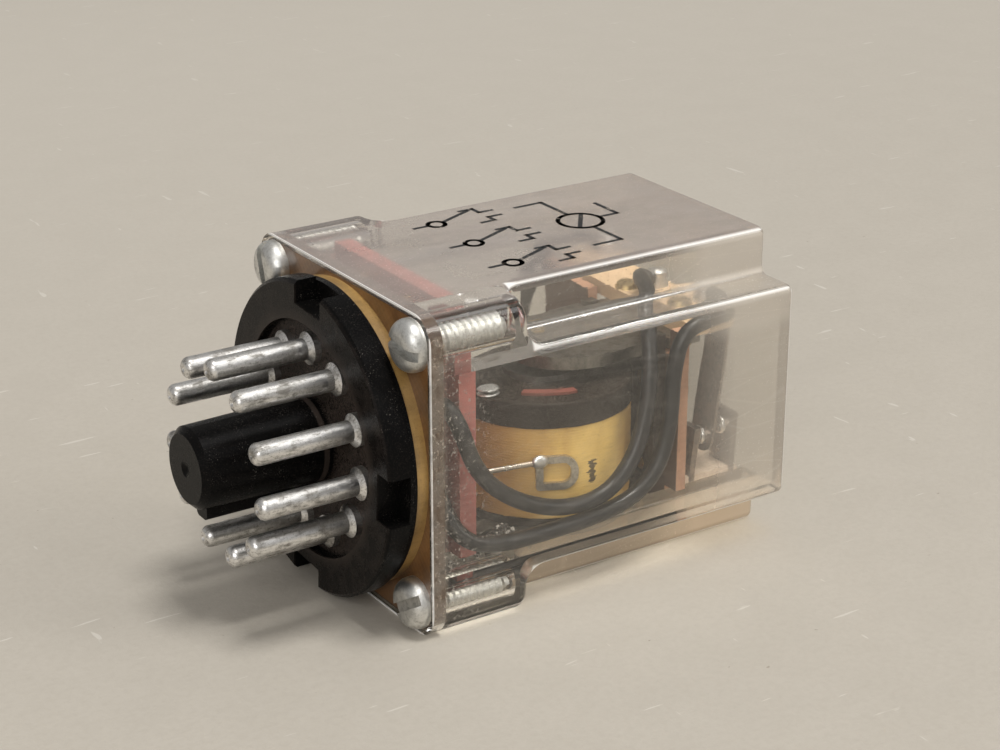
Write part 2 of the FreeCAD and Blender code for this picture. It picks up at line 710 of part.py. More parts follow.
YOKE_SIDES = ("coil_y - foot_rivet_side", "coil_y + foot_rivet_side")
RIVETS = [
    ("-top_rivet_side", "top_rivet_up"),
    ("top_rivet_side", "top_rivet_up"),
    (YOKE_SIDES[0], "-foot_rivet_down"),
    (YOKE_SIDES[1], "-foot_rivet_down"),
]

# Each row: pin of the closed contact, its lane, pin of the open contact, its lane and its tail,
# where lanes and tails are measured from the middle of the contact.
POLES = [
    {"rest_pin": 7, "rest_lane": -0.8, "work_pin": 11, "work_lane": 0.8, "work_tail": 0.8},
    {"rest_pin": 6, "rest_lane": 0.8, "work_pin": 1, "work_lane": 2.4, "work_tail": 1.0},
    {"rest_pin": 5, "rest_lane": -0.8, "work_pin": 4, "work_lane": 0.8, "work_tail": 0.8},
]


def pole_side(index):
    """Middle of a contact from side to side, as an expression."""
    return f"pole_pitch * {index - 1}"


def make_insulating_plate():
    body = new_body("insulating_plate")
    outline = sketch_on(body, "YZ_Plane", "red_front")
    draw_polygon(outline, plus_outline("red_side_half", "red_half", "red_notch", "red_notch"))
    pad(body, outline, "red_thick")
    holes = sketch_on(body, "YZ_Plane", "red_front")
    for side, up in RIVETS:
        draw_circle(holes, side, up, "rivet_radius + rivet_fit")
    for number in COIL_PINS:
        draw_circle(holes, pin_side(number), pin_up(number), "coil_wire * 3")
    pocket(body, holes, "red_thick")
    notches = sketch_on(body, "YZ_Plane", "red_front")
    for index, pole in enumerate(POLES):
        lanes = sorted((pole["rest_lane"], pole["work_lane"]))
        low = f"{pole_side(index)} + {lanes[0]} - notch_side"
        high = f"{pole_side(index)} + {lanes[1]} + notch_side"
        draw_box(notches, low, high, "-side_half", "-red_half + notch_tall")
    pocket(body, notches, "red_thick")
    return body


def make_spacer(side, up):
    body = new_body("spacer")
    outline = sketch_on(body, "YZ_Plane", "plate_back")
    draw_circle(outline, "0", "0", "spacer_radius")
    draw_circle(outline, "0", "0", "rivet_radius + rivet_fit")
    pad(body, outline, "red_gap")
    place(body, "0", side, up)
    return body


def make_frame_rivet(side, up, end):
    """Rivet from the base plate to the face that its last head closes on."""
    body = new_body("rivet")
    profile = sketch_on(body, "XZ_Plane")
    draw_polygon(profile, [
        ("plate_front", "0"), ("plate_front", "rivet_head"),
        ("plate_front + rivet_flat", "rivet_head"), ("plate_front + rivet_flat", "rivet_radius"),
        (end, "rivet_radius"), (end, "rivet_head"),
        (end + " + rivet_flat", "rivet_head * 0.8"), (end + " + rivet_flat", "0"),
    ])
    revolve(body, profile, "X_Axis")
    place(body, "0", side, up)
    return body


def make_yoke():
    """One bent steel strip: foot, leg under the coil, and upright with two lugs."""
    body = new_body("yoke")
    leg = sketch_on(body, "XY_Plane", "yoke_bottom")
    draw_box(leg, "red_back", "upright_back", "coil_y - yoke_leg / 2", "coil_y + yoke_leg / 2")
    pad(body, leg, "yoke_thick")
    foot = sketch_on(body, "YZ_Plane", "red_back")
    draw_box(foot, "coil_y - yoke_leg / 2", "coil_y + yoke_leg / 2", "foot_low", "leg_top")
    pad(body, foot, "yoke_thick")
    upright = sketch_on(body, "YZ_Plane", "upright_x")
    right = [("yoke_leg / 2", "yoke_bottom"), ("yoke_leg / 2", "yoke_bottom + upright_step"),
             ("yoke_wide / 2", "yoke_bottom + upright_step"),
             ("yoke_wide / 2", "arm_under + lug_tall"),
             ("yoke_wide / 2 - lug_wide", "arm_under + lug_tall"),
             ("yoke_wide / 2 - lug_wide", "yoke_top")]
    left = [("-(" + side + ")", up) for side, up in reversed(right)]
    draw_polygon(upright, [("coil_y + " + side, up) for side, up in right + left])
    pad(body, upright, "yoke_thick")
    bends = [(value("red_back"), value("leg_top")), (value("upright_back"), value("yoke_bottom"))]
    soften(body, "Fillet", "bend_round", lambda edge, middle, run: runs_along(run, 1) and any(
        near(middle.x, along) and near(middle.z, up) for along, up in bends))
    tenon = sketch_on(body, "XY_Plane", "yoke_bottom")
    draw_circle(tenon, "coil_x", "coil_y", "core_tenon + rivet_fit")
    pocket(body, tenon, "yoke_thick")
    rivets = sketch_on(body, "YZ_Plane", "red_back")
    for side in YOKE_SIDES:
        draw_circle(rivets, side, "-foot_rivet_down", "rivet_radius + rivet_fit")
    pocket(body, rivets, "yoke_thick")
    board = sketch_on(body, "YZ_Plane", "upright_x")
    for side, up in BOARD_RIVETS:
        draw_circle(board, side, up, "rivet_radius + rivet_fit")
    pocket(body, board, "yoke_thick")
    return body


BOARD_RIVETS = [("coil_y - board_rivet", "arm_under - board_rivet_down"),
                ("coil_y + board_rivet", "arm_under - board_rivet_down"),
                ("coil_y - board_rivet", "block_top + board_rivet_up"),
                ("coil_y + board_rivet", "block_top + board_rivet_up")]
BLOCK_RIVETS = [("-pole_pitch / 2", "(block_top + block_low) / 2"),
                ("pole_pitch / 2", "(block_top + block_low) / 2")]


def make_board_rivet(side, up, start, end):
    """Flush in the front face, with a low head behind."""
    body = new_body("board_rivet")
    profile = sketch_on(body, "XZ_Plane")
    draw_polygon(profile, [
        (start, "0"), (start, "rivet_radius"), (end, "rivet_radius"),
        (end, "rivet_head"), (end + " + rivet_flat", "rivet_head * 0.8"),
        (end + " + rivet_flat", "0"),
    ])
    revolve(body, profile, "X_Axis")
    place(body, "0", side, up)
    return body


def make_core():
    """Iron core with its tenon riveted in the yoke and a pole shoe on top."""
    body = new_body("coil_core")
    profile = sketch_on(body, "XZ_Plane")
    draw_polygon(profile, [
        ("0", "yoke_bottom"), ("core_tenon", "yoke_bottom"), ("core_tenon", "leg_top"),
        ("core_radius", "leg_top"), ("core_radius", "flange_top"),
        ("pole_radius", "flange_top"), ("pole_radius", "pole_top"), ("0", "pole_top"),
    ])
    revolve(body, profile, "Z_Axis")
    place(body, "coil_x", "coil_y")
    return body


def make_bobbin():
    body = new_body("coil_bobbin")
    profile = sketch_on(body, "XZ_Plane")
    draw_polygon(profile, [
        ("tube_inner", "leg_top"), ("flange_radius", "leg_top"),
        ("flange_radius", "winding_low"), ("tube_outer", "winding_low"),
        ("tube_outer", "winding_high"), ("flange_radius", "winding_high"),
        ("flange_radius", "flange_top"), ("tube_inner", "flange_top"),
    ])
    revolve(body, profile, "Z_Axis")
    top = value("flange_top")
    wide = value("flange_radius")
    soften(body, "Fillet", "lower_flange / 3", lambda edge, middle, run: (
        near(edge.BoundBox.ZMin, top) and near(edge.BoundBox.ZMax, top)
        and edge.BoundBox.XLength > wide))
    place(body, "coil_x", "coil_y")
    return body


def make_winding():
    body = new_body("coil_winding")
    profile = sketch_on(body, "XZ_Plane")
    draw_box(profile, "tube_outer + coil_fit", "coil_radius", "winding_low + coil_fit",
             "winding_high - coil_fit")
    revolve(body, profile, "Z_Axis")
    place(body, "coil_x", "coil_y")
    return body


def make_coil_tag(side, turn):
    """D-shaped solder tag that stands on the tape; its face looks away from the axis."""
    body = new_body("coil_tag")
    outline = sketch_on(body, "XZ_Plane", "coil_radius")
    draw_box(outline, "-tag_long / 2", "tag_long / 2", "-tag_tall / 2", "tag_tall / 2")
    pad(body, outline, "tag_thick")
    long_half = value("tag_long / 2")
    soften(body, "Fillet", "tag_tall * 0.45", lambda edge, middle, run: (
        runs_along(run, 1) and middle.x > 0))
    soften(body, "Fillet", "tag_band / 2", lambda edge, middle, run: (
        runs_along(run, 1) and near(middle.x, -long_half)))
    hole = sketch_on(body, "XZ_Plane", "coil_radius")
    draw_box(hole, "tag_band - tag_long / 2", "tag_long / 2 - tag_band",
             "tag_band - tag_tall / 2", "tag_tall / 2 - tag_band")
    pocket(body, hole, "tag_thick")
    inner = value("tag_long / 2 - tag_band")
    soften(body, "Fillet", "tag_tall * 0.45 - tag_band", lambda edge, middle, run: (
        runs_along(run, 1) and near(middle.x, inner)))
    place(body, "coil_x", "coil_y", "tag_height", turn, (0, 0, 1))
    return body


def make_contact_board():
    """Laminated board behind the yoke, with a window for the armature's tail."""
    body = new_body("contact_board")
    outline = sketch_on(body, "YZ_Plane", "board_front")
    draw_polygon(outline, [
        ("-red_notch", "board_low"), ("red_notch", "board_low"), ("red_notch", "-red_notch"),
        ("board_side", "-red_notch"), ("board_side", "board_top"),
        ("coil_y + arm_side + window_gap", "board_top"),
        ("coil_y + arm_side + window_gap", "arm_under - board_gap"),
        ("coil_y - arm_side - window_gap", "arm_under - board_gap"),
        ("coil_y - arm_side - window_gap", "board_top"), ("-board_side", "board_top"),
        ("-board_side", "-red_notch"), ("-red_notch", "-red_notch"),
    ])
    pad(body, outline, "board_thick")
    holes = sketch_on(body, "YZ_Plane", "board_front")
    for side, up in BOARD_RIVETS + BLOCK_RIVETS:
        draw_circle(holes, side, up, "rivet_radius + rivet_fit")
    draw_circle(holes, "spring_y", "spring_low - spring_down", "spring_wire")
    pocket(body, holes, "board_thick")
    return body


def bar_x(height, tilt, contact_x, contact_z, away):
    """Where a bar's near face lies at a height; away is -1 in front of the blade, +1 behind."""
    lean = f"tan({tilt} * 1deg)"
    tall = f"cos({tilt} * 1deg)"
    return f"({contact_x} + ({height} - {contact_z}) * {lean} + {away} * contact_stack / {tall})"


REST_BAR = {"tilt": "blade_tilt", "x": "contact_x", "z": "contact_z", "away": -1}
WORK_BAR = {"tilt": "closed_tilt", "x": "closed_x", "z": "closed_z", "away": 1}


def make_contact_bar(label, kind, index, tail):
    """Fixed contact bar: a leaning strip above the block and a narrow solder tail below it."""
    body = new_body(label)
    away = kind["away"]

    def face(height):
        return bar_x(height, kind["tilt"], kind["x"], kind["z"], away)

    over = kind["z"] + " + bar_over"
    thick = f"{away} * bar_thick"
    profile = sketch_on(body, "XZ_Plane")
    draw_polygon(profile, [
        (face(over), over), (face("block_top"), "block_top"), (face("block_top"), "tail_low"),
        (face("block_top") + " + " + thick, "tail_low"),
        (face("block_top") + " + " + thick, "block_top"), (face(over) + " + " + thick, over),
    ])
    strip = body.newObject("PartDesign::Pad", label + "_strip")
    strip.Profile = profile
    strip.SideType = "Symmetric"
    strip.setExpression("Length", cells("bar_wide"))
    doc.recompute()
    trim = sketch_on(body, "YZ_Plane", face("block_top") + " - bar_thick * 2")
    for low, high in (("-bar_wide", f"{tail} - tail_wide / 2"),
                      (f"{tail} + tail_wide / 2", "bar_wide")):
        draw_box(trim, low, high, "tail_low * 1.2", "block_top - bar_thick")
    pocket(body, trim, "bar_thick * 4")
    place(body, "0", pole_side(index))
    return body


def make_contact_rivet(kind, index, x, z, tilt, start, tall):
    """Round contact on a tilted face; start and tall are measured along the face's normal."""
    body = new_body("contact")
    outline = sketch_on(body, "YZ_Plane", start)
    draw_circle(outline, "0", "0", "contact_radius")
    pad(body, outline, tall)
    face = value(start + " + " + tall) if kind == "front" else value(start)
    soften(body, "Fillet", "contact_round", lambda edge, middle, run: (
        near(edge.BoundBox.XMin, face) and near(edge.BoundBox.XMax, face)))
    place(body, x, pole_side(index), z, tilt, (0, 1, 0))
    return body


def slot_ends(kind):
    """Front and rear side of the block's slot for a bar."""
    near_face = bar_x("block_top", kind["tilt"], kind["x"], kind["z"], kind["away"])
    if kind["away"] > 0:
        return f"{near_face} - bar_fit", f"{near_face} + bar_thick + bar_fit"
    return f"{near_face} - bar_thick - bar_fit", f"{near_face} + bar_fit"


def make_block():
    """Insulating bar that holds the fixed contacts against the board."""
    body = new_body("contact_block")
    outline = sketch_on(body, "YZ_Plane", "board_back")
    draw_box(outline, "-block_side", "block_side", "block_low", "block_top")
    pad(body, outline, "block_long")
    top = value("block_top")
    soften(body, "Chamfer", "block_bevel",
           lambda edge, middle, run: near(middle.z, top) and runs_along(run, 1))
    slots = sketch_on(body, "XY_Plane", "block_low")
    for index, pole in enumerate(POLES):
        for kind, tail in ((REST_BAR, pole["rest_lane"]), (WORK_BAR, pole["work_tail"])):
            front, back = slot_ends(kind)
            draw_box(slots, front, back, f"{pole_side(index)} + {tail} - tail_wide / 2 - bar_fit",
                     f"{pole_side(index)} + {tail} + tail_wide / 2 + bar_fit")
    pocket(body, slots, "block_top - block_low")
    seats = sketch_on(body, "XY_Plane", "block_top - bar_thick - bar_fit")
    for index in range(len(POLES)):
        for kind in (REST_BAR, WORK_BAR):
            front, back = slot_ends(kind)
            draw_box(seats, front, back, f"{pole_side(index)} - bar_wide / 2 - bar_fit",
                     f"{pole_side(index)} + bar_wide / 2 + bar_fit")
    pocket(body, seats, "bar_thick + bar_fit * 2")
    holes = sketch_on(body, "YZ_Plane", "board_back")
    for side, up in BLOCK_RIVETS:
        draw_circle(holes, side, up, "rivet_radius + rivet_fit")
    pocket(body, holes, "block_long")
    return body


# Moving parts: armature with its carrier, blades, rivets and residual stud.

def make_armature():
    body = new_body("armature")
    outline = sketch_on(body, "XY_Plane", "arm_under")
    right = [("arm_front", "arm_side"), ("upright_x - arm_notch", "arm_side"),
             ("upright_x - arm_notch", "arm_side - lug_wide - arm_notch"),
             ("upright_back + arm_notch", "arm_side - lug_wide - arm_notch"),
             ("upright_back + arm_notch", "arm_side"), ("arm_tail", "arm_side")]
    left = [(x, "-(" + side + ")") for x, side in reversed(right)]
    draw_polygon(outline, [(x, "coil_y + " + side) for x, side in right + left])
    pad(body, outline, "arm_thick")
    front = value("arm_front")
    tail = value("arm_tail")
    soften(body, "Fillet", "arm_side - arm_flat",
           lambda edge, middle, run: runs_along(run, 2) and near(middle.x, front))
    soften(body, "Fillet", "arm_thick / 2",
           lambda edge, middle, run: runs_along(run, 2) and near(middle.x, tail))
    holes = sketch_on(body, "XY_Plane", "arm_under")
    draw_circle(holes, "coil_x", "coil_y", "stud_radius + rivet_fit")
    draw_circle(holes, "spring_x", "spring_y", "spring_wire")
    for side in ("-", "+"):
        draw_circle(holes, "carrier_rivet_x", f"coil_y {side} carrier_rivet_side",
                    "rivet_radius + rivet_fit")
    pocket(body, holes, "arm_thick")
    return body


def make_stud():
    body = new_body("residual_stud")
    outline = sketch_on(body, "XY_Plane", "arm_under - stud_proud")
    draw_circle(outline, "coil_x", "coil_y", "stud_radius")
    pad(body, outline, "arm_thick + stud_proud")
    return body


def make_carrier():
    body = new_body("contact_carrier")
    outline = sketch_on(body, "XY_Plane", "carrier_low")
    draw_box(outline, "carrier_front", "carrier_end", "-carrier_side", "carrier_side")
    pad(body, outline, "carrier_thick")
    soften(body, "Fillet", "carrier_thick / 2", lambda edge, middle, run: runs_along(run, 2))
    holes = sketch_on(body, "XY_Plane", "carrier_low")
    draw_circle(holes, "spring_x", "spring_y", "spring_wire")
    for side in ("-", "+"):
        draw_circle(holes, "carrier_rivet_x", f"coil_y {side} carrier_rivet_side",
                    "rivet_radius + rivet_fit")
    for index in range(len(POLES)):
        draw_circle(holes, "blade_rivet_x", pole_side(index), "blade_rivet + rivet_fit")
    pocket(body, holes, "carrier_thick")
    return body


def make_blade(index):
    """Springy strip with a foot under the carrier and a long leaning end."""
    body = new_body(f"moving_blade_{index + 1}")
    half = "blade_thick / 2"
    profile = sketch_on(body, "XZ_Plane")
    draw_polygon(profile, [
        ("blade_x - foot_long", "foot_top"), ("blade_x - foot_long", "foot_under"),
        ("blade_x - blade_thick", "foot_under"), (f"blade_low_x - {half}", "blade_low"),
        (f"blade_low_x + {half}", "blade_low"), ("blade_x", "foot_under"),
        ("blade_x", "foot_top"),
    ])
    strip = body.newObject("PartDesign::Pad", body.Name + "_strip")
    strip.Profile = profile
    strip.SideType = "Symmetric"
    strip.setExpression("Length", cells("blade_wide"))
    doc.recompute()
    low = value("blade_low")
    soften(body, "Fillet", "blade_wide * 0.45", lambda edge, middle, run: (
        runs_along(run, 0) and near(middle.z, low)))
    rivet = sketch_on(body, "XY_Plane", "foot_under")
    draw_circle(rivet, "blade_rivet_x", "0", "blade_rivet + rivet_fit")
    pocket(body, rivet, "blade_thick")
    place(body, "0", pole_side(index))
    return body


def make_stack_rivet(x, side, up, radius, head, bottom, top, solder):
    """Upright rivet with a thin head below and a head or soldered lug on top."""
    body = new_body("stack_rivet")
    profile = sketch_on(body, "XZ_Plane")
    draw_polygon(profile, [
        ("0", f"{bottom} - rivet_flat"), (f"{head} * 0.8", f"{bottom} - rivet_flat"),
        (head, bottom), (radius, bottom), (radius, top), (head, top),
        (f"{head} * 0.85", f"{top} + {solder}"), ("0", f"{top} + {solder}"),
    ])
    revolve(body, profile, "Z_Axis")
    place(body, x, side, up)
    return body


# Round wires: straight runs joined by arcs that touch them, swept by a disc.

def wire_path(points, widest):
    """A path through hand-chosen points whose corners are arcs up to the widest radius."""
    edges = []
    last = points[0]
    tightest = widest
    for i in range(1, len(points) - 1):
        before = points[i - 1] - points[i]
        after = points[i + 1] - points[i]
        turn = math.pi - before.getAngle(after)
        if turn < 1e-4:
            continue
        run = min(before.Length * (0.95 if i == 1 else 0.49),
                  after.Length * (0.95 if i == len(points) - 2 else 0.49))
        cut = min(run, widest * math.tan(turn / 2))
        radius = cut / math.tan(turn / 2)
        before.normalize()
        after.normalize()
        start = points[i] + before * cut
        end = points[i] + after * cut
        inward = before + after
        inward.normalize()
        reach = math.hypot(cut, radius)
        middle = points[i] + inward * (reach - radius)
        edges.append(Part.LineSegment(last, start).toShape())
        edges.append(Part.Arc(start, middle, end).toShape())
        last = end
        tightest = min(tightest, radius)
    edges.append(Part.LineSegment(last, points[-1]).toShape())
    return Part.Wire(edges), tightest


def make_wire(name, points, radius, widest):
    """A round wire; its volume has to be its section times its length."""
    path, tightest = wire_path(points, widest)
    print(f"{name}: {path.Length:.1f} mm long, tightest bend {tightest:.2f} mm")
    start = points[1] - points[0]
    disc = Part.Wire([Part.Circle(points[0], start, radius).toShape()])
    solid = path.makePipeShell([disc], True, False, 0)
    expected = math.pi * radius ** 2 * path.Length
    if abs(solid.Volume - expected) > expected * 0.01:
        raise RuntimeError(f"{name} has {solid.Volume:.2f} mm3 and should have {expected:.2f}")
    return own_shape(name, solid)


def stem_back(number):
    """Rear end of a pin's stem."""
    return point("stem_end", pin_side(number), pin_up(number))


def in_gap(side, up):
    """A point in the middle of the space between the base plate and the red plate."""
    return FreeCAD.Vector(value("(stem_end + red_front) / 2"), side, up)


def at(x, y, z):
    return FreeCAD.Vector(x, y, z)


COIL_PINS = (10, 2)

# Where each lead turns between the plates, as shares of the half width inside the steps.
DROPS = {
    7: [(-0.50, 0.045), (-0.81, -0.395), (-0.90, -0.72)],
    11: [(-0.61, -0.915), (-0.753, -1.094)],
    6: [(0.02, -0.54), (0.07, -0.94)],
    1: [],
    5: [(0.49, -0.40), (0.565, -0.933), (0.753, -1.148)],
    4: [(0.69, 0.09), (0.70, -0.215), (0.879, -0.538), (0.897, -0.843)],
}


def make_contact_wires():
    """Six leads from the pins, down between the plates and along the floor to the solder tails."""
    lane = value("floor_lane")
    radius = value("wire_radius")
    inner = value("inner_step")
    made = []
    for index, pole in enumerate(POLES):
        middle = value(pole_side(index))
        for kind, pin, side, tail in (
                (REST_BAR, pole["rest_pin"], pole["rest_lane"], pole["rest_lane"]),
                (WORK_BAR, pole["work_pin"], pole["work_lane"], pole["work_tail"])):
            face = value(bar_x("block_top", kind["tilt"], kind["x"], kind["z"], kind["away"]))
            face -= value("bar_thick") if kind["away"] < 0 else 0
            start = stem_back(pin)
            points = [start, in_gap(start.y, start.z)]
            points += [in_gap(across * inner, up * inner) for across, up in DROPS[pin]]
            points += [in_gap(middle + side, lane), at(value("coil_x"), middle + side, lane)]
            if tail != side:
                points += [at(face - radius * 7, middle + side, lane),
                           at(face - radius * 2.4, middle + tail, lane)]
            points.append(at(face, middle + tail, lane))
            made.append(make_wire(f"contact_wire_{len(made) + 1}", points, radius, radius * 4))
    return made


def make_coil_wires():
    """Bare leads from two pins through the red plate to the tags on the coil."""
    made = []
    for number, side in zip(COIL_PINS, (-1, 1)):
        start = stem_back(number)
        turn = math.radians(value("tag_turn"))
        reach = value("coil_radius + tag_thick + coil_wire")
        back = value("tag_long / 2 - tag_band / 2")
        end = at(value("coil_x") - reach * math.sin(turn) - back * math.cos(turn),
                 value("coil_y") + side * (reach * math.cos(turn) - back * math.sin(turn)),
                 value("tag_height + tag_tall / 2 - tag_band / 2"))
        behind = value("red_back + bend_room")
        points = [start, at(behind, start.y, start.z),
                  at(behind + value("coil_wire") * 2, (start.y + end.y * 3) / 4, end.z), end]
        made.append(make_wire(f"coil_wire_{len(made) + 1}", points, value("coil_wire"),
                              value("coil_wire") * 6))
    return made


# Loops of the flexible leads. Each row holds the share of the way from the red plate to the
# upright, the distance from the cover's side wall, and the height as a share of the half width
# inside the steps. The first point lies between the plates, where the share isn't used.
LOOPS = {
    8: (-1, [(0, 2.05, 0.646), (-0.025, 0.05, 0.413), (0.022, 0, 0.036), (0.116, 0, -0.27),
             (0.27, 0, -0.53), (0.458, 0, -0.69), (0.64, 0.05, -0.664), (0.77, 0.25, -0.395),
             (0.847, 0.75, 0.036), (0.887, 1.65, 0.50), (0.931, 3.95, 0.888), (1.04, 7.95, 1.04),
             (1.142, 13.75, 1.004)]),
    9: (-1, [(0, 1.85, -0.556), (0.007, 0, -0.771), (0.167, 0, -0.866), (0.378, 0, -0.87),
             (0.596, 0, -0.857), (0.793, 0.05, -0.757), (0.912, 0.25, -0.488), (0.964, 0.55, -0.054),
             (0.989, 0.85, 0.395), (1.065, 1.05, 0.744), (1.185, 0.95, 0.874)]),
    3: (1, [(0, 0.15, -0.413), (0.0145, 0, -0.735), (0.189, 0.05, -0.879), (0.415, 0.05, -0.888),
            (0.647, 0.05, -0.798), (0.836, 0.25, -0.502), (0.945, 0.45, -0.054),
            (0.996, 0.55, 0.43), (1.069, 0.95, 0.753), (1.185, 0.95, 0.874)]),
}


def make_flexible_leads():
    """Three soft black leads in wide loops from the pins to the soldered blade rivets."""
    radius = value("lead_radius")
    wall = value("inner_half - lead_radius - lead_clear")
    front = value("red_front")
    span = value("upright_x - red_front")
    inner = value("inner_step")
    rivet = value("blade_rivet_x")
    head = value("solder_radius")
    gap = value("hook_gap")
    top = value("carrier_top") + radius + gap
    pitch = value("pole_pitch")
    made = []
    for number, (side, rows) in LOOPS.items():
        start = stem_back(number)
        _, first_off, first_up = rows[0]
        points = [start, in_gap(start.y, start.z),
                  in_gap(side * (wall - first_off), first_up * inner)]
        points += [at(front + share * span, side * (wall - off), up * inner)
                   for share, off, up in rows[1:]]
        if number == 8:
            points.append(at(rivet - head - gap * 4, 0, top + gap))
        else:
            points += [at(rivet, side * (pitch + head * 3), top),
                       at(rivet, side * (pitch + head + gap), top)]
        made.append(make_wire(f"flexible_lead_{len(made) + 1}", points, radius, radius * 13))
    return made


def make_spring():
    """Return spring: close turns, a lower end through the board and a hook over the carrier."""
    wire = value("spring_wire / 2")
    mean = value("spring_radius")
    low = value("spring_low")
    high = value("spring_high")
    helix = Part.makeHelix(value("spring_pitch"), high - low, mean)
    disc = Part.Wire([Part.Circle(at(mean, 0, 0), at(0, 1, 0), wire).toShape()])
    turns = Part.Wire(helix).makePipeShell([disc], True, False)
    turns.translate(at(0, 0, low))
    last = helix.Vertexes[-1].Point
    top = value("carrier_top + spring_wire / 2 + hook_gap")
    foot = value("spring_low - spring_down")
    board = value("board_front + rivet_fit") - value("spring_x")
    lower = [at(mean, 0, low), at(0, 0, low), at(0, 0, foot), at(board, 0, foot)]
    upper = [at(last.x, last.y, high), at(0, 0, high), at(0, 0, top), at(wire * 5, 0, top)]
    ends = []
    for points in (lower, upper):
        path, _ = wire_path(points, wire * 2)
        start = points[1] - points[0]
        section = Part.Wire([Part.Circle(points[0], start, wire).toShape()])
        ends.append(path.makePipeShell([section], True, False, 0))
    shape = turns.fuse(ends)
    made = own_shape("return_spring", shape)
    made.Placement = FreeCAD.Placement(point("spring_x", "spring_y", "0"), FreeCAD.Rotation())
    return made


SCREW_TURNS = [("-screw_side", "screw_side", "8"), ("-screw_side", "-screw_side", "148"),
               ("screw_side", "screw_side", "75"), ("screw_side", "-screw_side", "30")]

nodes = [make_cover(), make_base_plate(), make_disc(), make_pin_base()]
nodes += [make_pin(number) for number in range(1, int(value("pin_count")) + 1)]
nodes.append(group("cover_screws", [
    make_cover_screw(f"screw_{i + 1}", side, up, turn)
    for i, (side, up, turn) in enumerate(SCREW_TURNS)]))
nodes.append(make_insulating_plate())
nodes.append(group("plate_spacers", [make_spacer(side, up) for side, up in RIVETS]))
nodes.append(group("frame_rivets", [
    make_frame_rivet(side, up, "red_back" if up == "top_rivet_up" else "foot_back")
    for side, up in RIVETS]))
nodes += [make_yoke(), make_core(), make_bobbin(), make_winding()]
nodes.append(group("coil_tags", [make_coil_tag(-1, "-tag_turn"), make_coil_tag(1, "180 + tag_turn")]))
nodes.append(make_contact_board())
nodes.append(group("board_rivets", [
    make_board_rivet(side, up, "upright_x", "board_back") for side, up in BOARD_RIVETS]))
nodes.append(group("block_rivets", [
    make_board_rivet(side, up, "board_front", "block_end") for side, up in BLOCK_RIVETS]))
nodes.append(make_block())
for index, pole in enumerate(POLES):
    nodes.append(make_contact_bar(f"rest_bar_{index + 1}", REST_BAR, index, pole["rest_lane"]))
    nodes.append(make_contact_bar(f"work_bar_{index + 1}", WORK_BAR, index, pole["work_tail"]))
nodes.append(group("fixed_contacts", [
    make_contact_rivet(*spot) for index in range(len(POLES)) for spot in (
        ("front", index, "contact_x", "contact_z", "blade_tilt", "-contact_stack", "contact_tall"),
        ("back", index, "closed_x", "closed_z", "closed_tilt",
         "contact_stack - contact_tall", "contact_tall"))]))
nodes += make_contact_wires() + make_coil_wires()
nodes += [make_armature(), make_stud(), make_carrier()]
nodes += [make_blade(index) for index in range(len(POLES))]
nodes.append(group("moving_contacts", [
    make_contact_rivet(kind, index, "contact_x", "contact_z", "blade_tilt", start, "contact_tall")
    for index in range(len(POLES)) for kind, start in (
        ("back", "-blade_thick / 2 - contact_tall"), ("front", "blade_thick / 2"))]))
nodes.append(group("carrier_rivets", [
    make_stack_rivet("carrier_rivet_x", f"coil_y {side} carrier_rivet_side", "0", "rivet_radius",
                     "rivet_head", "arm_under", "carrier_top", "rivet_flat")
    for side in ("-", "+")]))
nodes.append(group("blade_rivets", [
    make_stack_rivet("blade_rivet_x", pole_side(index), "0", "blade_rivet", "solder_radius",
                     "foot_under", "carrier_top", "solder_tall")
    for index in range(len(POLES))]))
nodes.append(make_spring())
nodes += make_flexible_leads()

doc.recompute()
for item in doc.Objects:
    if any(state in ("Invalid", "Error") for state in item.State):
        raise RuntimeError(f"{item.Label} did not recompute: {item.State}")
os.makedirs("parts", exist_ok=True)
for item in nodes:
    if item.Shape.isNull() or not item.Shape.isValid() or not item.Shape.Solids:
        raise RuntimeError(f"{item.Label} has no valid solid")
    item.Shape.exportStep(f"parts/{item.Label}.step")
print(f"{len(nodes)} nodes, {sum(len(item.Shape.Solids) for item in nodes)} solids")
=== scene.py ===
# %% [markdown]
# A plug-in power relay lies on one long side on a pale table. The packed CAD model is the frame:
# it holds every solid at its real size, so this lesson only adds the camera, the light, the
# finishes and the small forms that solids don't carry well, such as threads, print and dust.

# %% Load the frame
import math
import random

import bmesh
import bpy
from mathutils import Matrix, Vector


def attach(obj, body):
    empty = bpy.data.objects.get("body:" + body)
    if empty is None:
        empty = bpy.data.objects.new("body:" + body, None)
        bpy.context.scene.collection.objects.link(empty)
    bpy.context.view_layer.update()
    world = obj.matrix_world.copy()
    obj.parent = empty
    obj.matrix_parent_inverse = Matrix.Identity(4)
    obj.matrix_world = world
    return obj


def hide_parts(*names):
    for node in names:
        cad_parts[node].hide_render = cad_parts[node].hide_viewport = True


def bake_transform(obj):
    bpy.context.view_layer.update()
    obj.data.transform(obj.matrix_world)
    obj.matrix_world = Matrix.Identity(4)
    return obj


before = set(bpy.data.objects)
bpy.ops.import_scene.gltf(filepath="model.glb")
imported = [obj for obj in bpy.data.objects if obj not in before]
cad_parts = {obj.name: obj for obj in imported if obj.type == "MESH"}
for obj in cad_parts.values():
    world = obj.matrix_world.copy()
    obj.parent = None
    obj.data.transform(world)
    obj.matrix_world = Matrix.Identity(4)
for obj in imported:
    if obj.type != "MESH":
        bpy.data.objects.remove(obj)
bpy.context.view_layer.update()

scene = bpy.context.scene

# %% [markdown]
# The camera comes from edges of the cover, the flange and the pins in the photograph. It is given
# as a point that it looks at, two angles and a distance, and a focal length in pixels of a
# picture 1000 pixels wide. That is easier to read and to mend than a matrix.

# %% Camera
def millimetres(*numbers):
    """A point or direction in metres from numbers in millimetres."""
    return Vector(numbers) / 1000


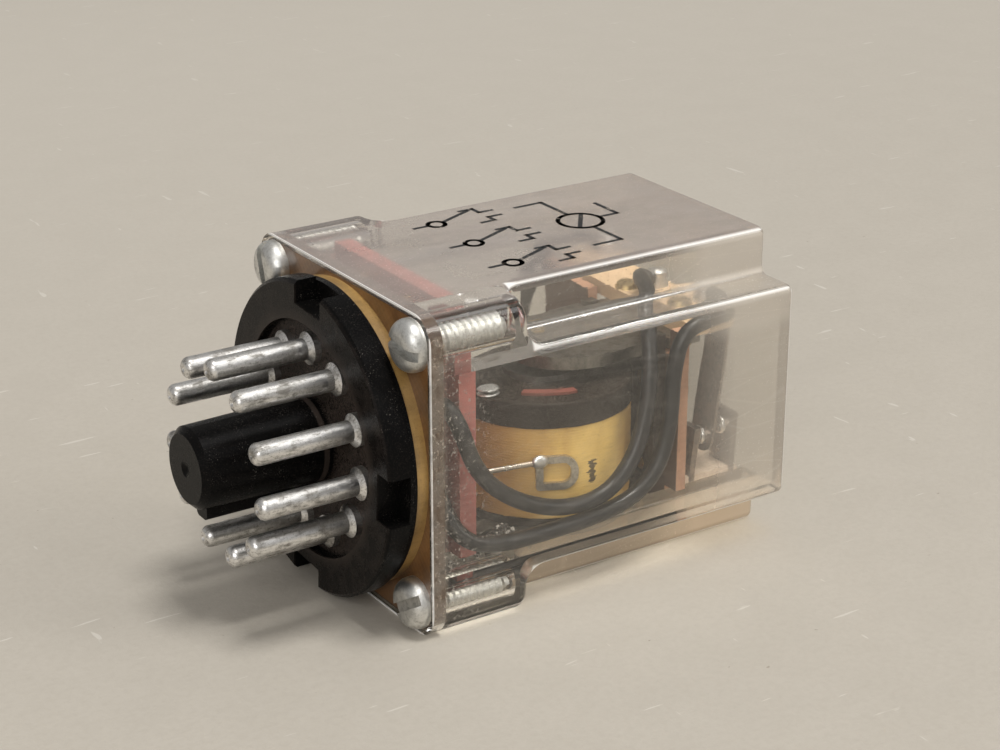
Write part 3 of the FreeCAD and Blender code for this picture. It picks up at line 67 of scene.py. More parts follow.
AZIMUTH = math.radians(-33.308)
ELEVATION = math.radians(22.079)
LOOK_AT = millimetres(24.43, 0, 1.83)
DISTANCE = 0.25126
FOCAL_PIXELS = 2271.4
PICTURE_PIXELS = 1000
SENSOR = 36

back = Vector((math.sin(AZIMUTH) * math.cos(ELEVATION),
               -math.cos(AZIMUTH) * math.cos(ELEVATION), math.sin(ELEVATION)))
camera = bpy.data.objects.new("camera", bpy.data.cameras.new("camera"))
scene.collection.objects.link(camera)
camera.location = LOOK_AT + back * DISTANCE
camera.rotation_mode = "QUATERNION"
camera.rotation_quaternion = (-back).to_track_quat("-Z", "Y")
camera.data.sensor_width = SENSOR
camera.data.lens = FOCAL_PIXELS * SENSOR / PICTURE_PIXELS
camera.data.clip_start = 0.01
scene.camera = camera
print("camera at", [round(x, 4) for x in camera.location], "lens", round(camera.data.lens, 2))

# %% [markdown]
# The shadow in the photograph lies close round the relay and has soft bands, so its main light
# is broad, nearly overhead and a little towards the camera. That is the key lamp. A second lamp
# keeps the front of the black moulding readable, and a third one draws bright lines along the
# rounded edges of the cover. Pale surroundings fill the rest.
# The Standard view shows colours as they are written.

# %% Light
scene.view_settings.view_transform = "Standard"


def area_lamp(name, at, towards, size, watts, colour):
    """A rectangular lamp; places and sizes are in metres."""
    lamp = bpy.data.lights.new(name, "AREA")
    lamp.shape = "RECTANGLE"
    lamp.size, lamp.size_y = size
    lamp.energy = watts
    lamp.color = colour
    made = bpy.data.objects.new(name, lamp)
    scene.collection.objects.link(made)
    made.location = at
    made.rotation_mode = "QUATERNION"
    made.rotation_quaternion = (Vector(towards) - Vector(at)).to_track_quat("-Z", "Y")


area_lamp("key", (0.14, -0.40, 2.04), (0.02, 0, 0), (0.66, 0.54), 23.6, (1.0, 0.985, 0.96))
area_lamp("front", (-0.62, -0.62, 0.52), (0.0, 0, 0), (0.55, 0.45), 3.3, (1.0, 0.985, 0.97))
area_lamp("edge", (0.75, -0.62, 0.66), (0.02, 0, 0), (0.30, 0.80), 2.4, (1.0, 0.99, 0.98))
world = bpy.data.worlds.new("surroundings")
world.use_nodes = True
sky = world.node_tree.nodes["Background"]
sky.inputs["Color"].default_value = (0.97, 0.95, 0.93, 1)
sky.inputs["Strength"].default_value = 0.36
scene.world = world

# %% [markdown]
# Every finish below is written as sums of fields, such as 0.3 + 0.2 * dirt. A small class wraps
# one output of a shader node and adds a Math node for each operator, so that the text of a
# finish reads like the recipe it is.

# %% Sums of shader values
class Field:
    """A value that changes over a surface."""

    def __init__(self, finish, socket):
        self.finish = finish
        self.socket = socket

    def math(self, operation, *others):
        inputs = dict(enumerate(others, start=1))
        return self.finish.node("ShaderNodeMath", {"operation": operation}, {0: self, **inputs})

    def __add__(self, other):
        return self.math("ADD", other)

    __radd__ = __add__

    def __sub__(self, other):
        return self.math("SUBTRACT", other)

    def __rsub__(self, other):
        return self * -1 + other

    def __mul__(self, other):
        return self.math("MULTIPLY", other)

    __rmul__ = __mul__

    def __truediv__(self, other):
        return self.math("DIVIDE", other)

    def __pow__(self, other):
        return self.math("POWER", other)

    def __abs__(self):
        return self.math("ABSOLUTE")

    def larger(self, other):
        return self.math("MAXIMUM", other)

    def smaller(self, other):
        return self.math("MINIMUM", other)

    def rise(self, low, high):
        """0 below low, 1 above high, and a soft step between."""
        settings = {"interpolation_type": "SMOOTHSTEP"}
        inputs = {"Value": self, "From Min": low, "From Max": high}
        return self.finish.node("ShaderNodeMapRange", settings, inputs)


print("a field has", [name for name in vars(Field) if not name.startswith("__")])

# %% [markdown]
# A finish is one material with one Principled shader. Numbers that are the same all over go
# straight to the shader's sockets, and fields are linked to the few sockets that may vary.
# All patterns are measured in millimetres on the piece itself.

# %% Finishes
def socket_name(words):
    return words.replace("_", " ").title().replace("Ior", "IOR")


class Finish:
    """A named material that is built from fields."""

    def __init__(self, name, colour, **constants):
        self.material = bpy.data.materials.new(name)
        self.material.use_nodes = True
        self.tree = self.material.node_tree
        self.shader = self.tree.nodes["Principled BSDF"]
        self.shader.inputs["Base Color"].default_value = (*colour, 1)
        self.material.diffuse_color = (*colour, 1)
        for words, number in constants.items():
            self.shader.inputs[socket_name(words)].default_value = number
        self.spot = None

    def node(self, kind, settings=None, inputs=None, output=0):
        """Adds a node: first its settings, then the values or links of its sockets."""
        made = self.tree.nodes.new(kind)
        for words, setting in (settings or {}).items():
            setattr(made, words, setting)
        for socket, given in (inputs or {}).items():
            if isinstance(given, Field):
                self.tree.links.new(given.socket, made.inputs[socket])
            elif isinstance(given, tuple) and len(made.inputs[socket].default_value) == 4:
                made.inputs[socket].default_value = (*given, 1)
            else:
                made.inputs[socket].default_value = given
        return Field(self, made.outputs[output])

    def place(self):
        """Where a point of the piece is, in millimetres."""
        if self.spot is None:
            at = self.node("ShaderNodeTexCoord", output="Object")
            self.spot = self.node("ShaderNodeVectorMath", {"operation": "SCALE"},
                                  {0: at, "Scale": 1000.0})
        return self.spot

    def axis(self, letter):
        return self.node("ShaderNodeSeparateXYZ", inputs={0: self.place()}, output=letter)

    def stretched(self, stretch, shift):
        """The place, scaled to so many spots per millimetre along X, Y and Z."""
        return self.node("ShaderNodeVectorMath", {"operation": "MULTIPLY_ADD"},
                         {0: self.place(), 1: stretch, 2: (shift, shift, shift)})

    def noise(self, stretch, detail=3.0, roughness=0.55, shift=0.0):
        """Soft random values."""
        return self.node("ShaderNodeTexNoise", inputs={
            "Vector": self.stretched(stretch, shift), "Scale": 1.0, "Detail": detail,
            "Roughness": roughness})

    def cracks(self, stretch, shift=0.0):
        """How far a point is from the borders of random cells."""
        return self.node("ShaderNodeTexVoronoi", {"feature": "DISTANCE_TO_EDGE"},
                         {"Vector": self.stretched(stretch, shift), "Scale": 1.0})

    def blend(self, share, first, second):
        """A colour between two colours."""
        settings = {"data_type": "RGBA", "clamp_factor": True}
        return self.node("ShaderNodeMix", settings, {0: share, 6: first, 7: second}, output=2)

    def feed(self, **fields):
        for words, field in fields.items():
            self.tree.links.new(field.socket, self.shader.inputs[socket_name(words)])
        return self

    def relief(self, height, depth):
        """Bumps from a field, with the depth of a full step in millimetres."""
        bump = self.node("ShaderNodeBump", inputs={
            "Height": height, "Distance": depth / 1000, "Strength": 1.0}, output="Normal")
        return self.feed(normal=bump)


print("a finish has", [name for name in vars(Finish) if not name.startswith("__")])

# %% [markdown]
# The moulded black base is phenolic: deep black with a satin skin and a few pale specks. Greyish
# brown dust has settled in the well between the pins and round the well on the front face. Dust
# is a mask that lifts the colour and the roughness together.

# %% Black mouldings
DUST = (0.15, 0.115, 0.095)
PALE_SPECK = (0.30, 0.27, 0.235)


def moulding(name, body, dust, well=0.0):
    """Black plastic, with shares of dust all over and in and round the well."""
    made = Finish(name, body, specular_ior_level=0.07)
    depth = made.axis("X")
    radius = (made.axis("Y") ** 2 + made.axis("Z") ** 2) ** 0.5
    cloud = made.noise((0.5, 0.5, 0.5), 5.0, 0.65)
    grit = made.noise((5.5, 5.5, 5.5), 3.0, 0.75, 3.0)
    thin = grit.rise(0.48, 0.70) * (cloud * 0.6 + 0.25)
    in_well = depth.rise(0.5, 1.1) * (1 - radius.rise(12.6, 13.1))
    on_front = depth.rise(-0.5, -0.3) * (1 - depth.rise(0.1, 0.3))
    settled = in_well * (0.12 + 0.8 * grit.rise(0.40, 0.66)) + on_front * (
        0.04 + 0.12 * cloud.rise(0.35, 0.7) + 0.42 * (1 - radius.rise(12.0, 14.6)))
    mask = thin * dust + settled * well
    specks = made.noise((7.0, 7.0, 7.0), 1.0, 0.5, 6.0).rise(0.68, 0.74) * cloud.rise(0.42, 0.7)
    colour = made.blend(specks * 0.5, made.blend(mask, body, DUST), PALE_SPECK)
    made.feed(base_color=colour, roughness=0.18 + 0.4 * mask + 0.14 * cloud)
    return made.relief(grit * 0.5 + mask * 0.6, 0.04)


black_base = moulding("black_phenolic_dusty", (0.003, 0.003, 0.003), 0.11, 0.55)
black_bobbin = moulding("black_phenolic_clean", (0.017, 0.013, 0.010), 0.35)
print("mouldings", black_base.material.name, black_bobbin.material.name)

# %% [markdown]
# Laminates are sheets of resin and paper or cloth. Their faces show a faint weave and darker
# clouds, and their cut edges show the layers. The layers are a fine wave along X, because all
# these sheets stand across the relay. Two sheets are darkened: the base plate on its rim and in
# its corners, and the contact board on its face towards the coil, where its shade is painted.

# %% Laminates
THREADS_PER_MM = 2.2
LAYERS_PER_MM = 4.0
NEAR_BLACK = (0.05, 0.034, 0.026)


def laminate(name, face, dark, roughness, coat=0.0, darkening=None):
    """A sheet between two colours; darkening gives a field where the sheet goes nearly black."""
    made = Finish(name, face, coat_weight=coat, coat_roughness=0.12)
    across = (made.axis("Y") * THREADS_PER_MM * math.tau / 2).math("SINE")
    along = (made.axis("Z") * THREADS_PER_MM * math.tau / 2).math("SINE")
    weave = across * along * 0.5 + 0.5
    layers = (made.axis("X") * LAYERS_PER_MM * math.tau).math("SINE") * 0.5 + 0.5
    cloud = made.noise((0.35, 0.22, 0.22), 5.0, 0.6)
    fleck = made.noise((5.0, 5.0, 5.0), 2.0, 0.6, 8.0)
    shade = cloud.rise(0.3, 0.75) * 0.65 + fleck.rise(0.5, 0.75) * 0.25 + weave * 0.12
    colour = made.blend(shade, face, dark)
    # Near-black darkening: painted shade on the contact board, a darker rim and corners on the
    # base plate.
    if darkening:
        colour = made.blend(darkening(made) * 0.85, colour, NEAR_BLACK)
    made.feed(base_color=colour, roughness=roughness + 0.15 * fleck + 0.05 * layers)
    return made.relief(weave * 0.5 + layers * 0.2 + fleck * 0.3, 0.018)


def rim_and_corners(made):
    side, height = abs(made.axis("Y")), abs(made.axis("Z"))
    return side.larger(height).rise(16.9, 17.1).larger((side + height).rise(31.6, 32.2))


# Painted shade: the board's face towards the coil is made nearly black for the coil's shadow.
def painted_coil_shade(made):
    return 1 - made.axis("X").rise(38.93, 39.0)


brown_sheet = laminate("brown_laminate", (0.225, 0.108, 0.038), (0.045, 0.023, 0.011), 0.22,
                       coat=0.5, darkening=rim_and_corners)
amber_sheet = laminate("amber_laminate", (0.41, 0.25, 0.08), (0.14, 0.08, 0.028), 0.32, coat=0.4)
red_sheet = laminate("red_laminate", (0.46, 0.155, 0.13), (0.30, 0.10, 0.085), 0.45)
# The contact board carries painted shade on its face towards the coil.
board_sheet = laminate("red_brown_laminate", (0.51, 0.285, 0.18), (0.29, 0.15, 0.088), 0.45,
                       darkening=painted_coil_shade)
pale_sheet = laminate("pale_laminate", (0.74, 0.60, 0.47), (0.52, 0.40, 0.30), 0.45)
tan_sheet = laminate("tan_laminate", (0.72, 0.52, 0.33), (0.50, 0.34, 0.20), 0.42)
print("laminates", [sheet.material.name for sheet in (
    brown_sheet, amber_sheet, red_sheet, board_sheet, pale_sheet, tan_sheet)])

# %% [markdown]
# The metals differ more in their wear than in their colour. Tinned pins have long dull streaks
# from being pushed into sockets, zinc screws are cloudy, and the contact strips have
# tarnished. One recipe covers them: a stretched noise gives the streaks and a cloud the tarnish.

# %% Metals
ALONG_X = (0.8, 3.6, 3.6)
ALONG_Z = (5.0, 5.0, 0.4)
ALL_ROUND = (2.0, 2.0, 2.0)


def metal(name, bright, dull, low, high, streak, tarnish, depth=0.02):
    """Metal between two colours and two values of roughness, with bumps of a depth in mm."""
    made = Finish(name, bright, metallic=1.0)
    lines = made.noise(streak, 4.0, 0.6)
    cloud = made.noise((0.55, 0.55, 0.55), 5.0, 0.65, 5.0)
    pits = made.noise((6.0, 6.0, 6.0), 2.0, 0.5, 2.0)
    worn = (cloud.rise(0.4, 0.68) * 0.7 + lines.rise(0.45, 0.7) * 0.5
            + pits.rise(0.58, 0.7) * 0.35) * tarnish
    made.feed(base_color=made.blend(worn, bright, dull), roughness=low + (high - low) * worn)
    return made.relief(lines * 0.6 + pits * 0.4, depth)


pin_metal = metal("tinned_brass", (0.87, 0.86, 0.84), (0.32, 0.305, 0.28), 0.28, 0.60, ALONG_X,
                  1.2, 0.035)
zinc = metal("zinc_plate", (0.77, 0.77, 0.745), (0.42, 0.415, 0.39), 0.38, 0.62, ALL_ROUND, 0.9)
steel = metal("nickel_steel", (0.29, 0.275, 0.25), (0.15, 0.14, 0.125), 0.30, 0.50, ALL_ROUND,
              0.8, 0.008)
frame_steel = metal("dull_steel", (0.20, 0.18, 0.155), (0.09, 0.08, 0.07), 0.38, 0.6, ALL_ROUND,
                    0.9)
iron = metal("soft_iron", (0.45, 0.44, 0.43), (0.24, 0.23, 0.22), 0.3, 0.5, ALL_ROUND, 0.8)
brass = metal("rivet_brass", (0.72, 0.55, 0.27), (0.40, 0.29, 0.14), 0.25, 0.5, ALL_ROUND, 0.8)
bronze = metal("contact_bronze", (0.36, 0.30, 0.25), (0.16, 0.14, 0.13), 0.3, 0.55, ALONG_Z, 0.9)
silver = metal("contact_silver", (0.82, 0.81, 0.79), (0.45, 0.43, 0.40), 0.2, 0.45, ALL_ROUND,
               0.5)
copper = metal("tinned_copper", (0.70, 0.64, 0.56), (0.45, 0.36, 0.28), 0.25, 0.45, ALL_ROUND,
               0.7)
solder = metal("solder", (0.80, 0.80, 0.79), (0.48, 0.48, 0.48), 0.32, 0.6, ALL_ROUND, 0.7, 0.05)
tag_tin = metal("tag_tin", (0.66, 0.61, 0.52), (0.33, 0.29, 0.23), 0.34, 0.6, ALL_ROUND, 0.9,
                0.05)
print("metals", [made.material.name for made in (
    pin_metal, zinc, steel, frame_steel, iron, brass, bronze, silver, copper, solder, tag_tin)])

# %% [markdown]
# The winding is wrapped in amber film tape. The film is glossy and a little uneven where the
# turns of wire press through it, so it carries fine rings along Z and slow dents. Its colour
# deepens where the layers overlap and is painted darker towards both ends of the relay, as
# shade. On the near side the film has a small ragged nick, with the dark wire in it.

# %% Tape and wire covering
NICK_X, NICK_Z = 27.0, -5.1
NICK_HALF_WIDTH, NICK_HALF_HEIGHT = 0.42, 1.5
RINGS_PER_MM = 3.1

tape = Finish("amber_tape", (0.70, 0.47, 0.16), coat_weight=0.4, coat_roughness=0.16)
dents = tape.noise((0.22, 0.22, 0.12), 3.0, 0.5)
rings = (tape.axis("Z") * RINGS_PER_MM * math.tau).math("SINE") * 0.5 + 0.5
creases = tape.noise((0.5, 0.5, 3.0), 3.0, 0.6, 4.0)
deep = dents.rise(0.35, 0.7) * 0.7 + rings * 0.08 + creases.rise(0.55, 0.7) * 0.25
ragged = creases * 2.4 - 1.2
near_side = (0 - tape.axis("Y")).rise(2.0, 4.0)
nick = ((NICK_HALF_WIDTH - abs(tape.axis("X") - NICK_X + ragged)).rise(0.0, 0.1)
        * (NICK_HALF_HEIGHT - abs(tape.axis("Z") - NICK_Z)).rise(0.0, 0.3) * near_side)
# Painted shade: the tape is darker towards both ends, so that its middle looks lit.
painted_shade_at_ends = (1 - tape.axis("X").rise(18.5, 25.0)).larger(tape.axis("X").rise(29.5, 36.5))
amber = tape.blend(deep, (0.80, 0.55, 0.17), (0.49, 0.285, 0.064))
amber = tape.blend(painted_shade_at_ends * 0.75, amber, (0.36, 0.185, 0.045))
tape.feed(base_color=tape.blend(nick * 0.9, amber, (0.02, 0.014, 0.01)),
          roughness=0.30 + 0.2 * creases)
tape.relief(dents * 0.9 + rings * 0.06 + creases * 0.12, 0.16)

sleeving = Finish("black_sleeving", (0.009, 0.009, 0.010), specular_ior_level=0.5)
rub = sleeving.noise((1.2, 1.2, 1.2), 4.0, 0.6)
rubbed = sleeving.blend(rub.rise(0.5, 0.75) * 0.5, (0.007, 0.007, 0.008), (0.045, 0.042, 0.04))
sleeving.feed(base_color=rubbed, roughness=0.26 + 0.25 * rub)
sleeving.relief(rub, 0.03)

fibre = Finish("red_paper", (0.17, 0.045, 0.03), roughness=0.6)
fibre.relief(fibre.noise((3.0, 3.0, 3.0)), 0.02)
print("coverings", [made.material.name for made in (tape, sleeving, fibre)])

# %% [markdown]
# The cover is clear plastic with years of handling on it. The clear part is a refracting
# shader, so the thick bosses and edges bend what lies behind them as they really do. Lamps
# would hardly reach the inside through that, so shadow rays see a plain tint instead.
#
# Haze is a second, rough shader that is mixed in on the outer faces only. One group of fields
# below says where on the cover a point is: the top, the bosses, the shelf of a step, the convex
# edges, the lip at the mouth. A second group gives the marks: smoke, wiping, specks, scratches
# and dust. The haze is their weighted sum, and its colour runs from dirt to near white. The
# near-white film on the convex edges and the lip is partly rubbed plastic and partly a painted
# highlight for the bright lines of light along them.

# %% Clear cover
HALF_SIDE = 17.75
STEP_SIDE = 12.55
STEP_START = 16.6
CLOSED_END = 51.3
LIP_END = 6.3

SIDE_FILM = (0.60, 0.545, 0.47)
TOP_FILM = (0.43, 0.375, 0.34)
LOW_FILM = (0.58, 0.47, 0.35)
GRUBBY_FILM = (0.17, 0.12, 0.085)
RUBBED_AND_HIGHLIGHT_FILM = (0.95, 0.93, 0.90)
SHADOW_TINT = (0.935, 0.925, 0.90)

clear = Finish("clear_cover", (0.965, 0.955, 0.925), transmission_weight=1.0, ior=1.49)
x, y, z = (clear.axis(letter) for letter in "XYZ")
across, up = abs(y), abs(z)
furthest = across.larger(up)
nearest = across.smaller(up)

face = furthest.rise(HALF_SIDE - 0.35, HALF_SIDE - 0.15)
step = nearest.rise(STEP_SIDE - 0.3, STEP_SIDE - 0.1) * x.rise(STEP_START, STEP_START + 0.3)
closed = x.rise(CLOSED_END - 0.3, CLOSED_END - 0.15)
outside = face.larger(step).larger(closed)
top = z.rise(HALF_SIDE - 0.4, HALF_SIDE - 0.2)
not_top = 1 - top
boss = (1 - x.rise(STEP_START - 0.6, STEP_START)) * nearest.rise(STEP_SIDE - 0.6, STEP_SIDE)
rear = x.rise(35.0, 43.0) * not_top
low = (0 - z).rise(12.2, 12.8) * (1 - closed) * x.rise(STEP_START - 0.6, STEP_START + 0.2)
level = up.rise(STEP_SIDE - 0.4, STEP_SIDE) * z.rise(0.0, 1.0)
shelf = (z.rise(STEP_SIDE - 0.35, STEP_SIDE - 0.15)
         * (1 - z.rise(STEP_SIDE + 0.05, STEP_SIDE + 0.25))
         * across.rise(STEP_SIDE + 0.05, STEP_SIDE + 0.35))
corner_band = (nearest.rise(STEP_SIDE - 0.75, STEP_SIDE - 0.1)
               * furthest.rise(STEP_SIDE, STEP_SIDE + 0.3)
               * (1 - furthest.rise(STEP_SIDE + 4.4, STEP_SIDE + 4.6)))
rim = corner_band + closed * furthest.rise(HALF_SIDE - 1.6, HALF_SIDE - 0.6) * 0.5
# Painted highlight: a dense near-white film on the convex edges, partly rubbed plastic.
step_edge = (nearest.rise(STEP_SIDE - 0.6, STEP_SIDE - 0.25)
             * furthest.rise(HALF_SIDE - 0.6, HALF_SIDE - 0.25)
             * x.rise(STEP_START, STEP_START + 0.5))
end_edge = (x.rise(CLOSED_END - 0.6, CLOSED_END - 0.3)
            * furthest.rise(HALF_SIDE - 0.6, HALF_SIDE - 0.3))
edge = step_edge.larger(end_edge)
mouth = 1 - x.rise(LIP_END - 0.2, LIP_END + 0.2)
# Painted highlight: the lip gets the same near-white film, partly rubbed plastic.
lip = 1 - x.rise(4.63, 4.75)

smoke = clear.noise((0.09, 0.13, 0.13), 5.0, 0.6)
wipe = clear.noise((0.16, 0.9, 0.9), 4.0, 0.6, 6.0)
speck = clear.noise((4.0, 4.0, 4.0), 2.0, 0.6, 9.0)
scratch = (clear.cracks((0.05, 0.9, 0.32), 4.0) * -1 + 0.02).rise(0.0, 0.02)
dusty = 1 - x.rise(8.5, 14.0)
dust = clear.noise((2.4, 2.4, 2.4), 3.0, 0.7, 12.0).rise(0.55, 0.68)
smear = clear.noise((0.9, 0.7, 0.7), 4.0, 0.65, 3.0).rise(0.3, 0.65)
grubby = (1 - x.rise(6.1, 6.6)) * smear * not_top

all_over = 0.015 + 0.05 * smoke.rise(0.35, 0.7)
on_top = (top * (0.36 + 0.08 * smoke.rise(0.4, 0.65) + 0.03 * x.rise(20.0, 32.0))
          * (1 - boss * 0.5))
at_rear = rear * ((0.34 + 0.14 * x.rise(40.5, 43.5)) * (1 - shelf * 0.85)
                  + z.rise(7.5, 9.5) * 0.22)
in_places = (level * 0.05 + rim * 0.10 + mouth * 0.04 + boss * 0.05 + low * 0.42 + edge * 0.8
             + lip * 0.55 + grubby * 0.3)
marks = (speck.rise(0.62, 0.72) * (0.22 + 0.3 * dusty)
         + (wipe.rise(0.5, 0.75) * 0.05 + scratch * 0.05 + dusty * dust * 0.4) * not_top)
haze = (all_over + on_top + at_rear + in_places + marks) * outside.larger(edge)

clear.feed(roughness=(0.02 + 0.10 * wipe.rise(0.45, 0.8) + 0.06 * top) * outside + 0.01)
clear.relief(clear.noise((0.10, 0.10, 0.10), 2.0) + speck * 0.01 + scratch * 0.012, 0.09)
walls = clear.blend(top, SIDE_FILM, TOP_FILM)
soiled = clear.blend(grubby, LOW_FILM, GRUBBY_FILM)
film_colour = clear.blend(edge.larger(lip), clear.blend(low.larger(grubby), walls, soiled),
                          RUBBED_AND_HIGHLIGHT_FILM)
film = clear.node("ShaderNodeBsdfPrincipled", inputs={
    "Base Color": film_colour, "Roughness": 0.6, "Specular IOR Level": 0.3})
plastic = Field(clear, clear.shader.outputs[0])
hazy = clear.node("ShaderNodeMixShader", inputs={0: haze, 1: plastic, 2: film})
shadow_ray = clear.node("ShaderNodeLightPath", output="Is Shadow Ray")
window = clear.node("ShaderNodeBsdfTransparent", inputs={"Color": SHADOW_TINT})
surface = clear.node("ShaderNodeMixShader", inputs={0: shadow_ray, 1: hazy, 2: window})
clear.tree.links.new(surface.socket, clear.tree.nodes["Material Output"].inputs["Surface"])
print("clear cover with", len(clear.tree.nodes), "nodes")

# %% [markdown]
# Carried-over solids keep their shape and get a finish each. The list reads from the outside
# of the relay to its inside, and the line at the end shows whether a solid is left plain.

# %% Dress the solids
dressed = set()


def dress(finish, *names):
    for name in names:
        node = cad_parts[name]
        node.data.materials.clear()
        node.data.materials.append(finish.material)
        dressed.add(name)


def numbered(name, count):
    return [f"{name}_{i}" for i in range(1, count + 1)]


PIN_COUNT = 11
dress(clear, "cover")
dress(black_base, "pin_base")
dress(black_bobbin, "coil_bobbin")
dress(brown_sheet, "base_plate")
dress(amber_sheet, "spacer_disc")
dress(red_sheet, "insulating_plate")
dress(board_sheet, "contact_board")
dress(pale_sheet, "contact_block")
dress(tan_sheet, "contact_carrier")
dress(pin_metal, *numbered("pin", PIN_COUNT))
dress(zinc, "cover_screws", "return_spring")
dress(steel, "armature")
dress(frame_steel, "yoke")
dress(iron, "coil_core")
dress(tag_tin, "coil_tags")
dress(solder, "blade_rivets")
dress(brass, "plate_spacers", "frame_rivets", "board_rivets", "block_rivets", "carrier_rivets",
      "residual_stud")
dress(bronze, *numbered("moving_blade", 3), *numbered("rest_bar", 3), *numbered("work_bar", 3))
dress(silver, "fixed_contacts", "moving_contacts")
dress(tape, "coil_winding")
dress(sleeving, *numbered("contact_wire", 6), *numbered("flexible_lead", 3))
dress(copper, *numbered("coil_wire", 2))
print("left plain:", sorted(set(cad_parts) - dressed))

# %% [markdown]
# New pieces are built as meshes from a few shapes. A shape is a list of points in millimetres
# and a list of faces, and most of them are skins through rows of points. One helper makes the
# object, gives it its finish, smooths it up to a chosen angle and lets it ride on a body of the
# frame.

# %% Make a piece
def around(centre, radius, angle):
    """Both coordinates of a point on a circle."""
    return centre[0] + radius * math.cos(angle), centre[1] + radius * math.sin(angle)


def skin(rows, flip=False):
    """A shape through rows that have the same number of points."""
    width = len(rows[0])
    faces = []
    for a in range((len(rows) - 1) * width):
        if a % width < width - 1:
            b = a + width
            faces.append((a, b, b + 1, a + 1) if flip else (a, a + 1, b + 1, b))
    return [point for row in rows for point in row], faces


def mesh_of(name, shapes):
    """One mesh from shapes."""
    points, faces = [], []
    for more_points, more_faces in shapes:
        faces += [[len(points) + corner for corner in face] for face in more_faces]
        points += more_points
    made = bpy.data.meshes.new(name)
    made.from_pydata([Vector(p) / 1000 for p in points], [], faces)
    made.validate()
    return made


def piece(name, mesh, finish, body="base", smooth=35, stands_for=()):
    """An object that rides on a body, or on none, and may stand for solids of the frame."""
    made = bpy.data.objects.new(name, mesh)
    scene.collection.objects.link(made)
    mesh.materials.clear()
    mesh.materials.append(finish.material)
    for polygon in mesh.polygons:
        polygon.use_smooth = True
    mesh.set_sharp_from_angle(angle=math.radians(smooth))
    if body:
        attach(made, body)
    if stands_for:
        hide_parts(*stands_for)
    print(name, len(mesh.polygons), "faces")
    return made


print("a flat skin of two rows:", skin([[(0, 0, 0), (1, 0, 0)], [(0, 1, 0), (1, 1, 0)]])[1])

# %% [markdown]
# The cover screws cut their own thread in the bosses, and through the clear plastic the turns
# are the brightest thing at the corners. A thread is a ridge that climbs round the shank: each
# small turn of the angle adds a row of four points, foot, crest, crest and foot. The ridge
# fades out at both ends.

# %% Screw threads
SCREW_SIDE = 14.35
THREAD_START = 6.4
THREAD_END = 14.6
THREAD_PITCH = 0.8
CORE_RADIUS = 1.26
CREST_RADIUS = 1.5
FOOT_RADIUS = CORE_RADIUS - 0.03
STEPS_PER_TURN = 28


def thread(centre, turn):
    count = int((THREAD_END - THREAD_START) / THREAD_PITCH * STEPS_PER_TURN)
    rows = []
    for i in range(count + 1):
        angle = math.tau * i / STEPS_PER_TURN + turn
        along = THREAD_START + THREAD_PITCH * i / STEPS_PER_TURN
        fade = min(1, (count - i) / STEPS_PER_TURN, i / STEPS_PER_TURN * 3)
        crest = CORE_RADIUS + (CREST_RADIUS - CORE_RADIUS) * fade
        rows.append([(along + shift * THREAD_PITCH, *around(centre, radius, angle))
                     for radius, shift in ((FOOT_RADIUS, -0.34), (crest, -0.04), (crest, 0.04),
                                           (FOOT_RADIUS, 0.34))])
    return skin(rows)


threads = [thread((side * SCREW_SIDE, height * SCREW_SIDE), i * 1.7)
           for i, (side, height) in enumerate([(-1, 1), (-1, -1), (1, 1), (1, -1)])]
piece("screw_threads", mesh_of("screw_threads", threads), zinc)

# %% [markdown]
# Three soft black leads join the pins to the moving blades. They hang in wide loops against
# the clear wall and have to follow the armature. Each is one smooth spline through the same
# points as its solid, swept by a disc and made into a mesh. The table below gives the points of
# each lead under the number of its pin.

# %% Flexible leads
PIN_RING = 10.16
STEM_END = 7.2
GAP_MIDDLE = 8.6
LEAD_RADIUS = 0.9
LUG_X = 45.5
LUG_REACH = 1.3
CARRIER_TOP = 8.3
LEAD_TOP = CARRIER_TOP + LEAD_RADIUS + 0.15
POLE_PITCH = 9.2


def pin_spot(number):
    """Y and Z of a pin's axis."""
    angle = math.radians(-90 - (number - 0.5) * 360 / PIN_COUNT)
    return -PIN_RING * math.cos(angle), PIN_RING * math.sin(angle)


def soft_tube(name, points, radius, resolution=10, sides=4):
    """A mesh tube along a smooth spline through control points in millimetres."""
    curve = bpy.data.curves.new(name, "CURVE")
    curve.dimensions = "3D"
    curve.resolution_u = resolution
    curve.bevel_depth = radius / 1000
    curve.bevel_resolution = sides
    curve.use_fill_caps = True
    spline = curve.splines.new("NURBS")
    spline.points.add(len(points) - 1)
    for point, at in zip(spline.points, points):
        point.co = (*(Vector(at) / 1000), 1)
    spline.order_u = 3
    spline.use_endpoint_u = True
    holder = bpy.data.objects.new(name + "_route", curve)
    scene.collection.objects.link(holder)
    graph = bpy.context.evaluated_depsgraph_get()
    mesh = bpy.data.meshes.new_from_object(holder.evaluated_get(graph))
    bpy.data.objects.remove(holder)
    bpy.data.curves.remove(curve)
    mesh.name = name
    return mesh


